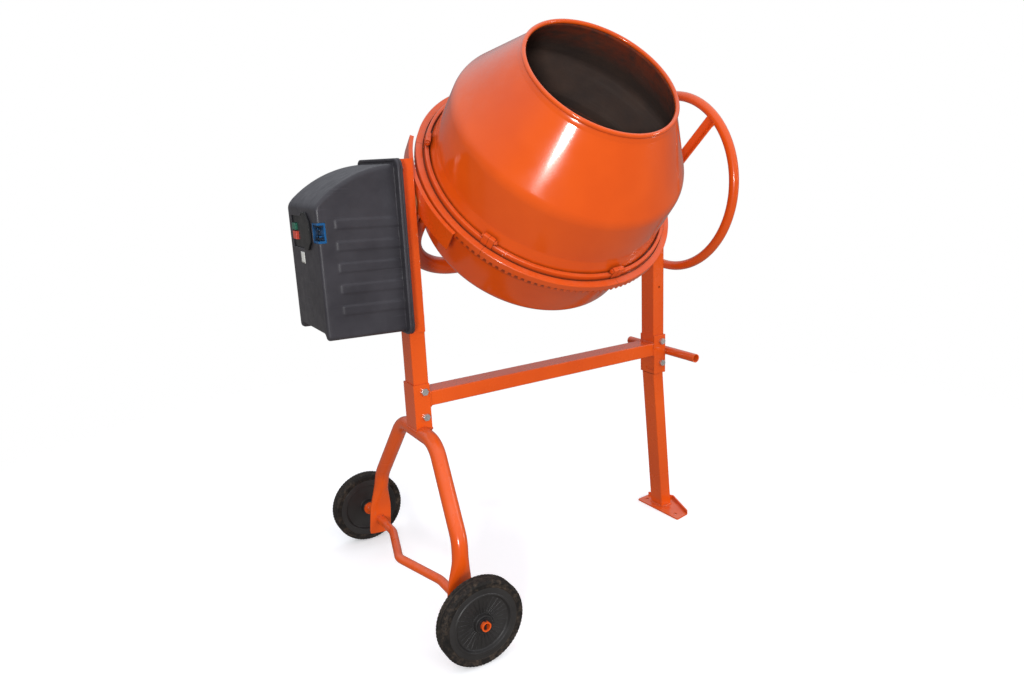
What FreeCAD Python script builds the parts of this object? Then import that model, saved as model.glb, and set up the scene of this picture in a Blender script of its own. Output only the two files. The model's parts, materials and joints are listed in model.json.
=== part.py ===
import FreeCAD, Part
# Tilting-drum concrete mixer: a welded tube frame on two wheels and one leg, a drum that
# turns on a spindle held by a tilting yoke, a ring gear and pinion, and a boxed geared motor.
#
# Machine axes, millimetres: +X from the motor side to the hand-wheel side, +Z up, and the
# drum mouth leans towards -Y.  X = 0 is the middle of the left upright, Y = 0 the plane of
# the two uprights and Z = 0 the floor.  Every piece is moved by -ORIGIN when it is saved, so
# that the part's own origin is on the floor under the middle of its outer box.
import math
import os
from FreeCAD import Vector as V

os.makedirs("parts", exist_ok=True)

# ---------------------------------------------------------------- driving dimensions
POST_GAP = 748.0            # between the middles of the uprights
POST_W, POST_D = 39.0, 53.0  # upright section along X and Y
POST_WALL = 1.5
LEFT_TOP, RIGHT_TOP = 1074.0, 1040.0
POST_FOOT = 436.0           # lower end of both uprights
TRUNNION_Z = 974.5          # tilt axis above the floor
DRUM_X = 376.0              # drum axis crosses the tilt axis here
TILT = 45.9                 # drum axis from vertical, leaning to -Y

BEAM_TOP, BEAM_H, BEAM_D, BEAM_WALL = 527.5, 37.0, 57.0, 2.0
BRACKET_T = 3.0             # end brackets that wrap the uprights
BRACKET_TOP, BRACKET_FOOT = 549.0, POST_FOOT
BRACKET_PLATE = 4.0         # plate that carries the motor, on the left upright's outer face
BOLT_Z = (530.0, 466.0)
BOLT_X = (5.0, POST_GAP + 9.0)

STAND_R, STAND_WALL = 19.0, 2.5
STAND_TOP = 424.0           # centreline of the stand's crossbar
STAND_LEAN = 5.95           # degrees, lower ends towards -X
STAND_X = -6.0
FLAT_T, FLAT_W = 8.0, 60.0  # pressed lower ends of the stand
AXLE_X, AXLE_Z = -41.0, 100.0
AXLE_R, AXLE_BORE = 11.0, 8.0
AXLE_HALF = 371.0
WHEEL_R, WHEEL_IN, WHEEL_W = 100.0, 322.5, 38.0

LEG_W, LEG_D, LEG_WALL = 35.6, 49.6, 2.0
LEG_LEAN = 4.5
FOOT_T, FOOT_RIM = 4.0, 13.0
FOOT_HOLE_X, FOOT_HOLE_Y = 766.0, (45.0, -81.0)

HANDLE_R, HANDLE_BORE, HANDLE_HALF, HANDLE_Z = 12.0, 9.5, 141.0, 497.0

MOUTH_S, MOUTH_R = 364.0, 182.3   # middle of the rolled rim, along and across the drum axis
RIM_R = 5.2
SHELL_T = 2.5
BLADE_TURN = 135.0          # first mixing blade, about the drum axis from +X
RING_R, RING_IN = 335.0, 303.0
RING_TEETH, PINION_TEETH = 132, 12
RING_ROOT, RING_TOP = 36.5, 52.0
TOOTH_OUT, TOOTH_IN = 333.0, 308.0
SEGMENTS = 6
RING_ADDENDUM, RING_BACKLASH = 3.2, 0.6
PINION_ADDENDUM, PINION_DEDENDUM = 5.2, 3.8
GEAR_PRESSURE = math.radians(20.0)
LUG_TOP, BOLT_S = 79.0, 71.8      # bolted lugs where the ring castings meet

YOKE_R, YOKE_WALL = 22.25, 3.0
YOKE_SIDE, YOKE_FLOOR, YOKE_BEND = 320.0, -264.0, 160.0
YOKE_TOP = -48.0
PLATE_IN, PLATE_T = 340.0, 8.0
GUARD_START, GUARD_SWEEP = 152.3, 51.7   # degrees about the drum axis
SPINDLE_R = 15.0

RUN = 0.05                  # radial clearance of every running fit
TRUNNION_R = 22.5           # left trunnion, a tube that the pinion shaft runs through
SHAFT_R, PIVOT_R = 10.0, 15.0   # pinion shaft and solid right trunnion
BUSH_R = 24.8               # left bush, between the front and rear walls of the upright

HAND_X, HAND_R, HAND_TUBE = 816.0, 233.3, 12.5
HAND_ANGLES = (135.0, 315.0)
SPOKE_WIDTH, SPOKE_LEAF = 24.0, 4.0      # angle-section spokes, open towards the machine
SPOKE_X, SPOKE_LEAN = 801.0, 5.6         # ridge at the hub, and how far it leans outwards

HOUSE_BACK, HOUSE_FRONT = -28.0, -217.0     # X of the open side and of the end face
HOUSE_Y0, HOUSE_Y1 = -43.0, 174.0
HOUSE_WALL, HOUSE_LIP = 3.0, 4.0
CROWN_BACK, CROWN_MIDDLE, CROWN_END, NOSE_Z = 1065.0, 1044.0, 996.0, 983.0
FLANGE_Y0, FLANGE_Y1, FLANGE_Z0, FLANGE_Z1 = -71.0, 182.0, 682.0, 1076.0

OUTPUT_Y, OUTPUT_Z = 72.0, 842.0   # gearhead output shaft
GEAR_MODULE = 1.5
BIG_TEETH, SMALL_TEETH = 56, 14
MOTOR_R = 58.0
PULLEY_BIG, PULLEY_SMALL = 34.0, 17.0   # belt radii
BELT_T = 4.0

FOOT_TIP_X = 835.0
MOUTH_FRONT_Y = -(MOUTH_S * math.sin(math.radians(TILT))
                  + MOUTH_R * math.cos(math.radians(TILT)) + RIM_R)
ORIGIN = V((HOUSE_FRONT - 6.0 + FOOT_TIP_X) / 2, (MOUTH_FRONT_Y + AXLE_HALF) / 2, 0)

X, Y, Z = V(1, 0, 0), V(0, 1, 0), V(0, 0, 1)
TRUNNION = V(DRUM_X, 0, TRUNNION_Z)
DRUM = FreeCAD.Placement(TRUNNION, FreeCAD.Rotation(X, TILT))

nodes = {}


# ---------------------------------------------------------------- helpers
def block(x0, x1, y0, y1, z0, z1):
    return Part.makeBox(x1 - x0, y1 - y0, z1 - z0, V(x0, y0, z0))


def rod(base, axis, radius, length):
    return Part.makeCylinder(radius, length, base, axis)


def ring(base, axis, outer, inner, length):
    """A round sleeve or washer."""
    return rod(base, axis, outer, length).cut(rod(base, axis, inner, length))


def hexagon(base, axis, across, height):
    """A hexagonal head or nut, given its size across the flats."""
    face = polygon([(across / math.sqrt(3) * math.cos(math.radians(60 * k)),
                     across / math.sqrt(3) * math.sin(math.radians(60 * k))) for k in range(6)])
    solid = face.extrude(V(0, 0, height))
    solid.Placement = FreeCAD.Placement(base, FreeCAD.Rotation(Z, axis))
    return solid


def polygon(points):
    """A flat face in the XY plane."""
    corners = [V(x, y, 0) for x, y in points]
    return Part.Face(Part.makePolygon(corners + corners[:1]))


def rounded_edges(points, radii, closed):
    """Straight runs joined by tangent arcs, as a list of edges."""
    count = len(points)
    starts, ends, arcs = {}, {}, {}
    for k in range(count):
        if radii[k] <= 0 or (not closed and k in (0, count - 1)):
            starts[k] = ends[k] = points[k]
            continue
        back = (points[k - 1] - points[k]).normalize()
        ahead = (points[(k + 1) % count] - points[k]).normalize()
        half_turn = (math.pi - back.getAngle(ahead)) / 2
        reach = radii[k] * math.tan(half_turn)
        middle = (back + ahead).normalize() * (radii[k] / math.cos(half_turn) - radii[k])
        ends[k] = points[k] + back * reach
        starts[k] = points[k] + ahead * reach
        arcs[k] = Part.Arc(ends[k], points[k] + middle, starts[k]).toShape()
    edges = []
    for k in range(count):
        if k in arcs:
            edges.append(arcs[k])
        following = (k + 1) % count
        if not closed and k == count - 1:
            break
        if starts[k].distanceToPoint(ends[following]) > 1e-6:
            edges.append(Part.LineSegment(starts[k], ends[following]).toShape())
    return edges


def outline(points, radii):
    """A closed flat face with rounded corners; points are 3-D vectors in one plane."""
    if not isinstance(radii, (list, tuple)):
        radii = [radii] * len(points)
    return Part.Face(Part.Wire(Part.__sortEdges__(rounded_edges(points, radii, True))))


def bent_bar(points, radii, radius):
    """A round bar that follows straight runs and arcs."""
    path = Part.Wire(rounded_edges(points, radii, False))
    start = (points[1] - points[0]).normalize()
    profile = Part.Wire(Part.Circle(points[0], start, radius).toShape())
    return path.makePipeShell([profile], True, False)


def bent_tube(points, radii, outer, inner):
    return bent_bar(points, radii, outer).cut(bent_bar(points, radii, inner))


def box_tube(x0, x1, y0, y1, z0, z1, wall, along, corner=3.0):
    """A rectangular tube with rounded long edges."""
    body = block(x0, x1, y0, y1, z0, z1)
    long_edges = [e for e in body.Edges if abs(e.tangentAt(e.FirstParameter).dot(along)) > 0.9]
    body = body.makeFillet(corner, long_edges)
    grow = [wall - along.x * 2 * wall, wall - along.y * 2 * wall, wall - along.z * 2 * wall]
    core = block(x0 + grow[0], x1 - grow[0], y0 + grow[1], y1 - grow[1],
                 z0 + grow[2], z1 - grow[2])
    return body.cut(core)


def turned(points, radii=0.0, start=0.0, sweep=360.0):
    """A solid of revolution about Z from (radius, height) points."""
    flat = [V(r, 0, z) for r, z in points]
    face = outline(flat, radii) if radii else Part.Face(Part.makePolygon(flat + flat[:1]))
    if start:
        face.rotate(V(), Z, start)
    return face.revolve(V(), Z, sweep)


def in_drum(shape):
    """From the drum's own frame (Z along its axis, origin on the tilt axis) to the machine's."""
    moved = shape.copy()
    moved.Placement = DRUM.multiply(moved.Placement)
    return moved


def fused(shapes):
    """All the shapes as one solid."""
    whole = shapes[0].fuse(shapes[1:]) if len(shapes) > 1 else shapes[0]
    whole = whole.removeSplitter()
    return whole.Solids[0] if len(whole.Solids) == 1 else whole


def add(name, shape):
    nodes[name] = shape


def group(name, shapes):
    """Identical fasteners: separate solids in one node."""
    nodes[name] = Part.makeCompound([s for shape in shapes for s in shape.Solids])


def hex_bolt(base, axis, radius, across, head, length):
    """Head outside the base point, shank along -axis."""
    shank = rod(base - axis * length, axis, radius, length)
    return fused([hexagon(base, axis, across, head), shank])


def nut(base, axis, across, height, bore):
    return hexagon(base, axis, across, height).cut(rod(base, axis, bore, height))


def gear_points(teeth, module, addendum, dedendum, backlash, phase):
    """Outline of an involute spur gear; phase is the direction of one tooth's middle."""
    pitch = teeth * module / 2
    base = pitch * math.cos(GEAR_PRESSURE)
    tip, root = pitch + addendum, pitch - dedendum
    start = math.tan(GEAR_PRESSURE) - GEAR_PRESSURE
    half = (math.pi * module / 2 - backlash) / 2 / pitch
    low = max(base, root)
    radii = [low + (tip - low) * k / 4 for k in range(5)]
    flank = []
    for r in radii:
        pressure = math.acos(min(1.0, base / r))
        flank.append((r, half + start - (math.tan(pressure) - pressure)))
    if root < base:
        flank.insert(0, (root, flank[0][1]))
    points = []
    for k in range(teeth):
        middle = phase + 2 * math.pi * k / teeth
        points += [(r, middle - a) for r, a in flank]
        points += [(r, middle + a) for r, a in reversed(flank)]
    return [(r * math.cos(a), r * math.sin(a)) for r, a in points]


def gear_wire(points, x, scale=1.0):
    """The outline stood in a plane across the X axis: outline x along Y, outline y along Z."""
    corners = [V(x, a * scale, b * scale) for a, b in points]
    return Part.makePolygon(corners + corners[:1])


# ---------------------------------------------------------------- frame
def post(middle, foot, top):
    return box_tube(middle - POST_W / 2, middle + POST_W / 2, -POST_D / 2, POST_D / 2,
                    foot, top, POST_WALL, Z)


def make_frame():
    bolt_holes = [[rod(V(x, -60, z), Y, 5.2, 120) for z in BOLT_Z] for x in BOLT_X]
    left = post(0, POST_FOOT, LEFT_TOP)
    left = left.cut([rod(V(-40, 0, TRUNNION_Z), X, BUSH_R, 80)] + bolt_holes[0])
    add("left_upright", left)

    right = post(POST_GAP, POST_FOOT, RIGHT_TOP)
    inner_face = POST_GAP - POST_W / 2
    leg_slot = block(inner_face - 2, inner_face + 3, -25, 6, 446, 453)
    pin_hole = rod(V(POST_GAP + 1.5, -POST_D / 2 - 2, 689), Y, 3.0, 6)
    right = right.cut([rod(V(POST_GAP - 40, 0, TRUNNION_Z), X, 20.0, 80), leg_slot, pin_hole]
                      + bolt_holes[1])
    add("right_upright", right)

    beam = box_tube(POST_W / 2, POST_GAP - POST_W / 2, -BEAM_D / 2, BEAM_D / 2,
                    BEAM_TOP - BEAM_H, BEAM_TOP, BEAM_WALL, X)
    brackets = []
    for middle, side, holes in ((0, -1, bolt_holes[0]), (POST_GAP, 1, bolt_holes[1])):
        inner, outer = middle - side * POST_W / 2, middle + side * POST_W / 2
        lip = outer + side * BRACKET_T
        face = POST_D / 2
        wrap = block(min(inner, lip), max(inner, lip), -face - BRACKET_T, face + BRACKET_T,
                     BRACKET_FOOT, BRACKET_TOP)
        wrap = wrap.cut([block(min(inner, outer) - (side > 0), max(inner, outer) + (side < 0),
                               -face, face, BRACKET_FOOT, BRACKET_TOP)] + holes)
        brackets.append(wrap)
    add("cross_beam", fused([beam] + brackets))

    back = POST_W / 2
    plate = block(-back - BRACKET_PLATE, -back, -60, 170, 690, LEFT_TOP - 3)
    cheek = block(-back - BRACKET_PLATE, back, -POST_D / 2 - 2.5, -POST_D / 2, 676, LEFT_TOP)
    holes = [rod(V(-back - 6, 0, TRUNNION_Z), X, BUSH_R, 8)]
    add("motor_bracket", fused([plate, cheek]).cut(holes))


def oval(centre, width, depth):
    """A closed curve of four arcs, wide along X and deep along Y."""
    half_w, half_d = width / 2, depth / 2
    flat = half_w - half_d * 0.9
    corners = [V(flat, half_d, 0), V(-flat, half_d, 0), V(-flat, -half_d, 0), V(flat, -half_d, 0)]
    if width == depth:
        corners = [V(half_w * a, half_w * b, 0) for a, b in
                   ((0.6, 0.8), (-0.6, 0.8), (-0.6, -0.8), (0.6, -0.8))]
    middles = [V(0, half_d, 0), V(-half_w, 0, 0), V(0, -half_d, 0), V(half_w, 0, 0)]
    edges = []
    for k in range(4):
        first, last = centre + corners[k], centre + corners[(k + 1) % 4]
        middle = centre + middles[k]
        if abs((middle - first).normalize().dot((last - first).normalize())) > 0.99999:
            edges.append(Part.LineSegment(first, last).toShape())
        else:
            edges.append(Part.Arc(first, middle, last).toShape())
    return Part.Wire(edges)


def make_stand():
    """One bent round tube under the left upright; its lower ends are pressed flat."""
    path = [V(0, 241, -240), V(0, 232, -189), V(0, 95, 0), V(0, -95, 0),
            V(0, -232, -189), V(0, -241, -240)]
    radii = [0, 90, 75, 75, 90, 0]
    pieces = [bent_tube(path, radii, STAND_R, STAND_R - STAND_WALL)]
    for side in (-1, 1):
        round_end = oval(V(0, side * 241, -240), 2 * STAND_R, 2 * STAND_R)
        flat_end = oval(V(0, side * 241, -288), FLAT_W, FLAT_T)
        pieces.append(Part.makeLoft([round_end, flat_end], True, False))
        pieces.append(Part.Face(flat_end).extrude(V(0, 0, -78)))
    stand = fused(pieces)
    stand.rotate(V(), Y, STAND_LEAN)
    stand.translate(V(STAND_X, 0, STAND_TOP))
    stand = stand.cut([rod(V(AXLE_X, -300, AXLE_Z), Y, AXLE_R, 600),
                       block(-60, 60, -POST_D / 2 - BRACKET_T, POST_D / 2 + BRACKET_T,
                             POST_FOOT, POST_FOOT + 20)])
    saddle = block(-POST_W / 2, POST_W / 2, -POST_D / 2, POST_D / 2, STAND_TOP - 2, POST_FOOT)
    saddle = saddle.cut(rod(V(STAND_X, -80, STAND_TOP), Y, STAND_R, 160))
    stub = box_tube(-17.8, 17.8, -24.8, 24.8, POST_FOOT, 520, 2.0, Z, 2.0)
    stub = stub.cut([rod(V(BOLT_X[0], -60, z), Y, 5.2, 120) for z in BOLT_Z])
    add("wheel_stand", fused([stand, saddle, stub]))

    path = [V(AXLE_X, -AXLE_HALF, AXLE_Z), V(AXLE_X, -146, AXLE_Z), V(AXLE_X - 44, 0, AXLE_Z + 4),
            V(AXLE_X, 146, AXLE_Z), V(AXLE_X, AXLE_HALF, AXLE_Z)]
    axle = bent_tube(path, [0, 60, 45, 60, 0], AXLE_R, AXLE_BORE)
    collars = [ring(V(AXLE_X, y, AXLE_Z), Y, 17.0, AXLE_R, 6.0)
               for y in (WHEEL_IN - 6.5, -WHEEL_IN + 0.5)]
    axle = fused([axle] + collars)
    pins = [rod(V(AXLE_X, side * (AXLE_HALF - 5), AXLE_Z - 20), Z, 2.1, 40) for side in (-1, 1)]
    add("axle", axle.cut(pins))


def make_leg():
    """Inner tube in the right upright, bent outwards below it, on a pressed foot plate."""
    bend_z = POST_FOOT - 1.0
    stub = box_tube(POST_GAP - LEG_W / 2, POST_GAP + LEG_W / 2, -LEG_D / 2, LEG_D / 2,
                    bend_z, 545, LEG_WALL, Z, 2.0)
    slant = box_tube(-LEG_W / 2, LEG_W / 2, -LEG_D / 2, LEG_D / 2, -470, 0, LEG_WALL, Z, 2.0)
    slant.rotate(V(), Y, -LEG_LEAN)
    slant.translate(V(POST_GAP, 0, bend_z))
    slant = slant.cut([block(700, 900, -60, 60, -60, FOOT_T), block(700, 800, -60, 60, bend_z, 500)])
    leg = fused([stub, slant])
    leg = leg.cut([rod(V(BOLT_X[1], -60, z), Y, 5.2, 120) for z in BOLT_Z])
    add("right_leg", leg)

    corners = [V(741, 60, 0), V(747, -110, 0), V(797, -101, 0), V(FOOT_TIP_X, 1, 0), V(790, 65, 0)]
    plate = outline(corners, [4, 4, 4, 10, 4]).extrude(V(0, 0, FOOT_T))
    rim = outline(corners, [4, 4, 4, 10, 4]).extrude(V(0, 0, FOOT_RIM))
    inside = [V(700, 120, 0), V(700, -160, 0), V(797 - 3.5, -160, 0), V(797 - 3.5, -101, 0),
              V(FOOT_TIP_X - 4.2, 1, 0), V(790 - 2.6, 65, 0), V(790 - 2.6, 120, 0)]
    rim = rim.cut(outline(inside, 0.0).extrude(V(0, 0, FOOT_RIM)))
    holes = [rod(V(FOOT_HOLE_X, y, 0), Z, 5.0, FOOT_T) for y in FOOT_HOLE_Y]
    add("foot_plate", fused([plate, rim]).cut(holes))

    web = POST_GAP + POST_W / 2 + BRACKET_T
    add("lifting_handle", ring(V(web + HANDLE_R, -HANDLE_HALF, HANDLE_Z), Y,
                               HANDLE_R, HANDLE_BORE, 2 * HANDLE_HALF))


def make_frame_bolts():
    bolts = []
    face = POST_D / 2 + BRACKET_T
    for x in BOLT_X:
        for z in BOLT_Z:
            head = V(x, -face, z)
            bolts.append(hex_bolt(head, -Y, 5.0, 16.0, 6.5, 2 * face + 14))
            bolts.append(nut(V(x, face, z), Y, 16.0, 8.0, 5.0))
    group("frame_bolts", bolts)


# ---------------------------------------------------------------- wheels
def wheel_disc():
    """Moulded disc, turned about Z, outer face at +Z: hub, web, ribs and a rim channel."""
    half = WHEEL_W / 2
    profile = [(AXLE_R + RUN, -half), (20, -half), (20, -3), (66, -3), (66, -14), (82, -14),
               (82, 14), (66, 14), (66, 8), (60, 4), (30, 4), (26, half), (AXLE_R + RUN, half)]
    disc = turned(profile)
    ribs = []
    for k in range(12):
        rib = block(18, 68, -1.6, 1.6, -13, -2)
        rib.rotate(V(), Z, 30 * k + 15)
        ribs.append(rib)
    return fused([disc] + ribs)


def tyre():
    half = WHEEL_W / 2
    profile = [(82, -14), (86, -half + 1), (97, -half + 3), (WHEEL_R, -half + 9),
               (WHEEL_R, half - 9), (97, half - 3), (86, half - 1), (82, 14)]
    return turned(profile, [0, 2, 5, 6, 6, 5, 2, 0])


def make_wheels():
    for name, side in (("front", -1), ("rear", 1)):
        seat = FreeCAD.Placement(V(AXLE_X, side * (WHEEL_IN + WHEEL_W / 2), AXLE_Z),
                                 FreeCAD.Rotation(Z, Y * side))
        for part, shape in (("wheel_disc", wheel_disc()), ("tyre", tyre())):
            shape.Placement = seat
            add("%s_%s" % (name, part), shape)
    washers, pins = [], []
    for side in (-1, 1):
        start = WHEEL_IN + WHEEL_W + 0.4
        base = V(AXLE_X, side * start, AXLE_Z)
        washers.append(ring(base, Y * side, 17.0, AXLE_R + 0.2, 2.5))
        y = side * (AXLE_HALF - 5)
        pins.append(rod(V(AXLE_X, y, AXLE_Z - 14), Z, 2.0, 28))
    group("wheel_washers", washers)
    group("split_pins", pins)


# ---------------------------------------------------------------- drum
def offset_path(points, distance):
    """The same corners moved sideways by distance, mitred."""
    moved = []
    for k, (r, z) in enumerate(points):
        normals = []
        for a, b in ((k - 1, k), (k, k + 1)):
            if a < 0 or b >= len(points):
                continue
            dr, dz = points[b][0] - points[a][0], points[b][1] - points[a][1]
            size = math.hypot(dr, dz)
            normals.append((-dz / size, dr / size))
        n = (sum(p[0] for p in normals), sum(p[1] for p in normals))
        size = math.hypot(*n)
        n = (n[0] / size, n[1] / size)
        reach = distance / (n[0] * normals[0][0] + n[1] * normals[0][1])
        moved.append((r + n[0] * reach, z + n[1] * reach))
    return moved


def sheet_shell(points, radii, thickness):
    """A turned sheet-metal shell; points are on its outside, from bottom to top."""
    inner = offset_path(points, thickness)
    inner_radii = [max(r - thickness, 0.5) if r else 0 for r in radii]
    return turned(points + inner[::-1], list(radii) + inner_radii[::-1])


def make_drum():
    outside = [(RING_IN, RING_ROOT), (RING_IN, 66), (296.5, 92), (291.5, 208), (187.5, 352.5)]
    cone = sheet_shell(outside, [0, 12, 30, 55, 0], SHELL_T)
    rim = Part.makeTorus(MOUTH_R, RIM_R, V(0, 0, MOUTH_S), Z)
    neck = ring(V(0, 0, 350.5), Z, MOUTH_R + 4.2, MOUTH_R + 1.7, MOUTH_S - 350.5)
    add("drum_upper_shell", in_drum(fused([cone, neck, rim])))

    side_top, floor = RING_IN - SHELL_T, -128.0
    outside = [(0.01, floor), (283, floor), (side_top, 26), (side_top, 62)]
    bowl = sheet_shell(outside, [0, 26, 10, 0], SHELL_T)
    bolt_holes = [rod(V(80 * math.cos(a), 80 * math.sin(a), floor - 2), Z, 5.2, 8)
                  for a in (math.radians(60 * k) for k in range(6))]
    add("drum_lower_shell", in_drum(bowl.cut(bolt_holes)))

    flange = rod(V(0, 0, floor - 8), Z, 100, 8)
    barrel = rod(V(0, 0, floor - 98), Z, 38, 90)
    gussets = []
    for k in range(3):
        gusset = outline([V(36, -3, floor - 7), V(92, -3, floor - 7), V(92, -3, floor - 12),
                          V(36, -3, floor - 60)], 0.0).extrude(V(0, 6, 0))
        gusset.rotate(V(), Z, 120 * k + 30)
        gussets.append(gusset)
    hub = fused([flange, barrel] + gussets)
    hub = hub.cut([rod(V(0, 0, floor - 98), Z, 31, 92)] + bolt_holes
                  + [rod(h.CenterOfMass - Z * 12, Z, 5.2, 20) for h in bolt_holes])
    add("drum_hub", in_drum(hub))
    bearings = [ring(V(0, 0, floor - drop), Z, 31, SPINDLE_R + RUN, 16) for drop in (96, 46)]
    group("spindle_bearings", [in_drum(b) for b in bearings])
    bolts = []
    for k in range(6):
        a = math.radians(60 * k)
        foot = V(80 * math.cos(a), 80 * math.sin(a), floor - 8)
        bolts.append(hex_bolt(foot, -Z, 5.0, 16.0, 6.5, 20))
        bolts.append(nut(foot + Z * (8 + SHELL_T), Z, 16.0, 8.0, 5.0))
    group("hub_bolts", [in_drum(b) for b in bolts])

    for k in range(2):
        add("mixing_blade_%d" % (k + 1), in_drum(blade(BLADE_TURN + 180 * k)))


def blade(angle):
    """A bent flat bar that stands off the drum wall on three welded feet."""
    edge = [(248, -98), (272, -60), (279, 40), (272, 170), (246, 232), (205, 232),
            (205, 200), (222, 160), (228, 40), (222, -60), (222, -98)]
    plate = outline([V(r, -2.5, z) for r, z in edge], 6.0).extrude(V(0, 5, 0))
    feet = []
    for z, reach in ((-40, 286.4), (20, 297.8), (120, 293.2)):
        feet.append(block(250, reach, -12, 12, z - 3, z + 3))
    wall = turned([(0.01, -120), (281, -120), (297.6, 26), (297.6, 62), (294, 92), (288.5, 208),
                   (180, 352), (0.01, 352)])
    whole = fused([plate] + feet).common(wall)
    whole.rotate(V(), Z, angle)
    return whole


# ---------------------------------------------------------------- ring gear
def ring_tooth(angle):
    """One face tooth that points to -Z and tapers towards the drum axis."""
    rings = []
    for radius in (TOOTH_OUT, TOOTH_IN):
        scale = radius / TOOTH_OUT
        module = 2 * radius / RING_TEETH
        pitch_z = radius * PINION_TEETH / RING_TEETH
        tip_z = pitch_z - RING_ADDENDUM * scale
        top_z = RING_ROOT + 1.0
        half = (math.pi * module / 2 - RING_BACKLASH * scale) / 2
        tip = half - RING_ADDENDUM * scale * math.tan(GEAR_PRESSURE)
        top = half + (top_z - pitch_z) * math.tan(GEAR_PRESSURE)
        rings.append([V(radius, -tip, tip_z), V(radius, tip, tip_z),
                      V(radius, top, top_z), V(radius, -top, top_z)])
    outer, inner = [Part.makePolygon(r + r[:1]) for r in rings]
    tooth = Part.makeLoft([outer, inner], True, True)
    tooth.rotate(V(), Z, angle)
    return tooth


def make_ring_gear():
    pitch = 360.0 / RING_TEETH
    share = RING_TEETH // SEGMENTS
    gap = 0.08                       # degrees between neighbouring castings
    first = 180.0 - 9 * pitch        # a joint that falls between two teeth
    section = [(RING_IN, RING_ROOT), (RING_R, RING_ROOT), (RING_R, RING_TOP - 1.5),
               (RING_R - 1.5, RING_TOP), (319, RING_TOP), (317.5, RING_TOP - 3),
               (315.5, RING_TOP - 3), (315.5, 63), (313.5, 65), (307.5, 65), (305.5, 63),
               (305.5, 54), (RING_IN, 54)]
    body = turned(section, 0.0, gap / 2, share * pitch - gap)
    lugs = []
    for start in (gap / 2, share * pitch - gap / 2):
        lug = block(304.6, 317, -14, 14, 52, LUG_TOP).cut(rod(V(311, -20, BOLT_S), Y, 3.3, 40))
        lug = lug.makeFillet(3.0, [e for e in lug.Edges if e.Length == 28.0
                                   and e.CenterOfMass.z > 70])
        lug.rotate(V(), Z, start)
        lugs.append(lug)
    wedge = turned([(290, 0), (345, 0), (345, 90), (290, 90)], 0.0, gap / 2, share * pitch - gap)
    lugs = [lug.common(wedge) for lug in lugs]
    teeth = [ring_tooth(pitch * (k + 0.5)) for k in range(share)]
    segment = fused([body] + lugs + teeth)
    for k in range(SEGMENTS):
        copy = segment.copy()
        copy.rotate(V(), Z, first + k * share * pitch)
        add("ring_segment_%d" % (k + 1), in_drum(copy))
    bolts = []
    for k in range(SEGMENTS):
        for piece in (hex_bolt(V(311, -14.3, BOLT_S), -Y, 3.0, 10.0, 4.0, 36),
                      nut(V(311, 14.3, BOLT_S), Y, 10.0, 5.0, 3.0)):
            piece.rotate(V(), Z, first + k * share * pitch)
            bolts.append(in_drum(piece))
    group("ring_bolts", bolts)


# ---------------------------------------------------------------- yoke
def yoke_plate(side):
    """End plate of the yoke: round about the tilt axis, running down to the tube."""
    corners = [V(0, -26, -118), V(0, 26, -118), V(0, 31, 0), V(0, 31, 31), V(0, -31, 31),
               V(0, -31, 0)]
    plate = outline(corners, [6, 6, 0, 30, 30, 0]).extrude(X * side * PLATE_T)
    plate.translate(V(side * PLATE_IN, 0, 0))
    return plate


def make_yoke():
    plates = [yoke_plate(side) for side in (-1, 1)]
    path = [V(-YOKE_SIDE, 0, YOKE_TOP), V(-YOKE_SIDE, 0, YOKE_FLOOR), V(YOKE_SIDE, 0, YOKE_FLOOR),
            V(YOKE_SIDE, 0, YOKE_TOP)]
    radii = [0, YOKE_BEND, YOKE_BEND, 0]
    tube = bent_tube(path, radii, YOKE_R, YOKE_R - YOKE_WALL)
    caps = [rod(V(side * YOKE_SIDE, 0, YOKE_TOP - 3), Z, YOKE_R - YOKE_WALL, 3)
            for side in (-1, 1)]
    tube = fused([tube] + caps).cut(plates)
    bore = [rod(V(-PLATE_IN - PLATE_T - 1, 0, 0), X, TRUNNION_R, PLATE_T + 2),
            rod(V(PLATE_IN - 1, 0, 0), X, PIVOT_R, PLATE_T + 2)]
    yoke = fused([tube] + plates).cut(bore)
    spindle_seat = rod(V(0, 0, YOKE_FLOOR), Z, 36, 32)
    spindle_seat = spindle_seat.cut([bent_bar(path, radii, YOKE_R), rod(V(0, 0, -300), Z, SPINDLE_R, 90)])
    yoke = fused([yoke, spindle_seat]).cut(rod(V(0, 0, -250), Z, SPINDLE_R, 30))
    add("yoke", in_drum(yoke))

    shaft = rod(V(0, 0, YOKE_FLOOR + YOKE_R - 1), Z, SPINDLE_R, 100)
    shaft = shaft.cut(bent_bar(path, radii, YOKE_R))
    add("drum_spindle", in_drum(shaft))
    top = YOKE_FLOOR + YOKE_R - 1 + 100
    locknut = nut(V(0, 0, top - 14), Z, 36.0, 12.0, SPINDLE_R)
    add("spindle_nut", in_drum(locknut))

    left_end, right_end = -30.0, HAND_X + 12.0
    sleeve = ring(V(left_end, 0, TRUNNION_Z), X, TRUNNION_R, 15.0, DRUM_X - PLATE_IN - left_end)
    add("left_trunnion", sleeve)
    start = DRUM_X + PLATE_IN
    add("right_trunnion", rod(V(start, 0, TRUNNION_Z), X, PIVOT_R, right_end - start))

    guard_r, guard_t, guard_h = 350.0, 2.0, 52.0
    band = [(guard_r, 0), (guard_r + guard_t, 0), (guard_r + guard_t, guard_h),
            (342, guard_h), (342, guard_h - guard_t), (guard_r, guard_h - guard_t)]
    pads = [block(-guard_r - 0.5, -PLATE_IN - PLATE_T, min(side * 24, side * 30),
                  max(side * 24, side * 30), 1, 22) for side in (-1, 1)]
    guard = fused([turned(band, 0.0, GUARD_START, GUARD_SWEEP)] + pads)
    add("gear_guard", in_drum(guard.cut(rod(V(-360, 0, 0), X, TRUNNION_R + 1.5, 20))))


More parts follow.
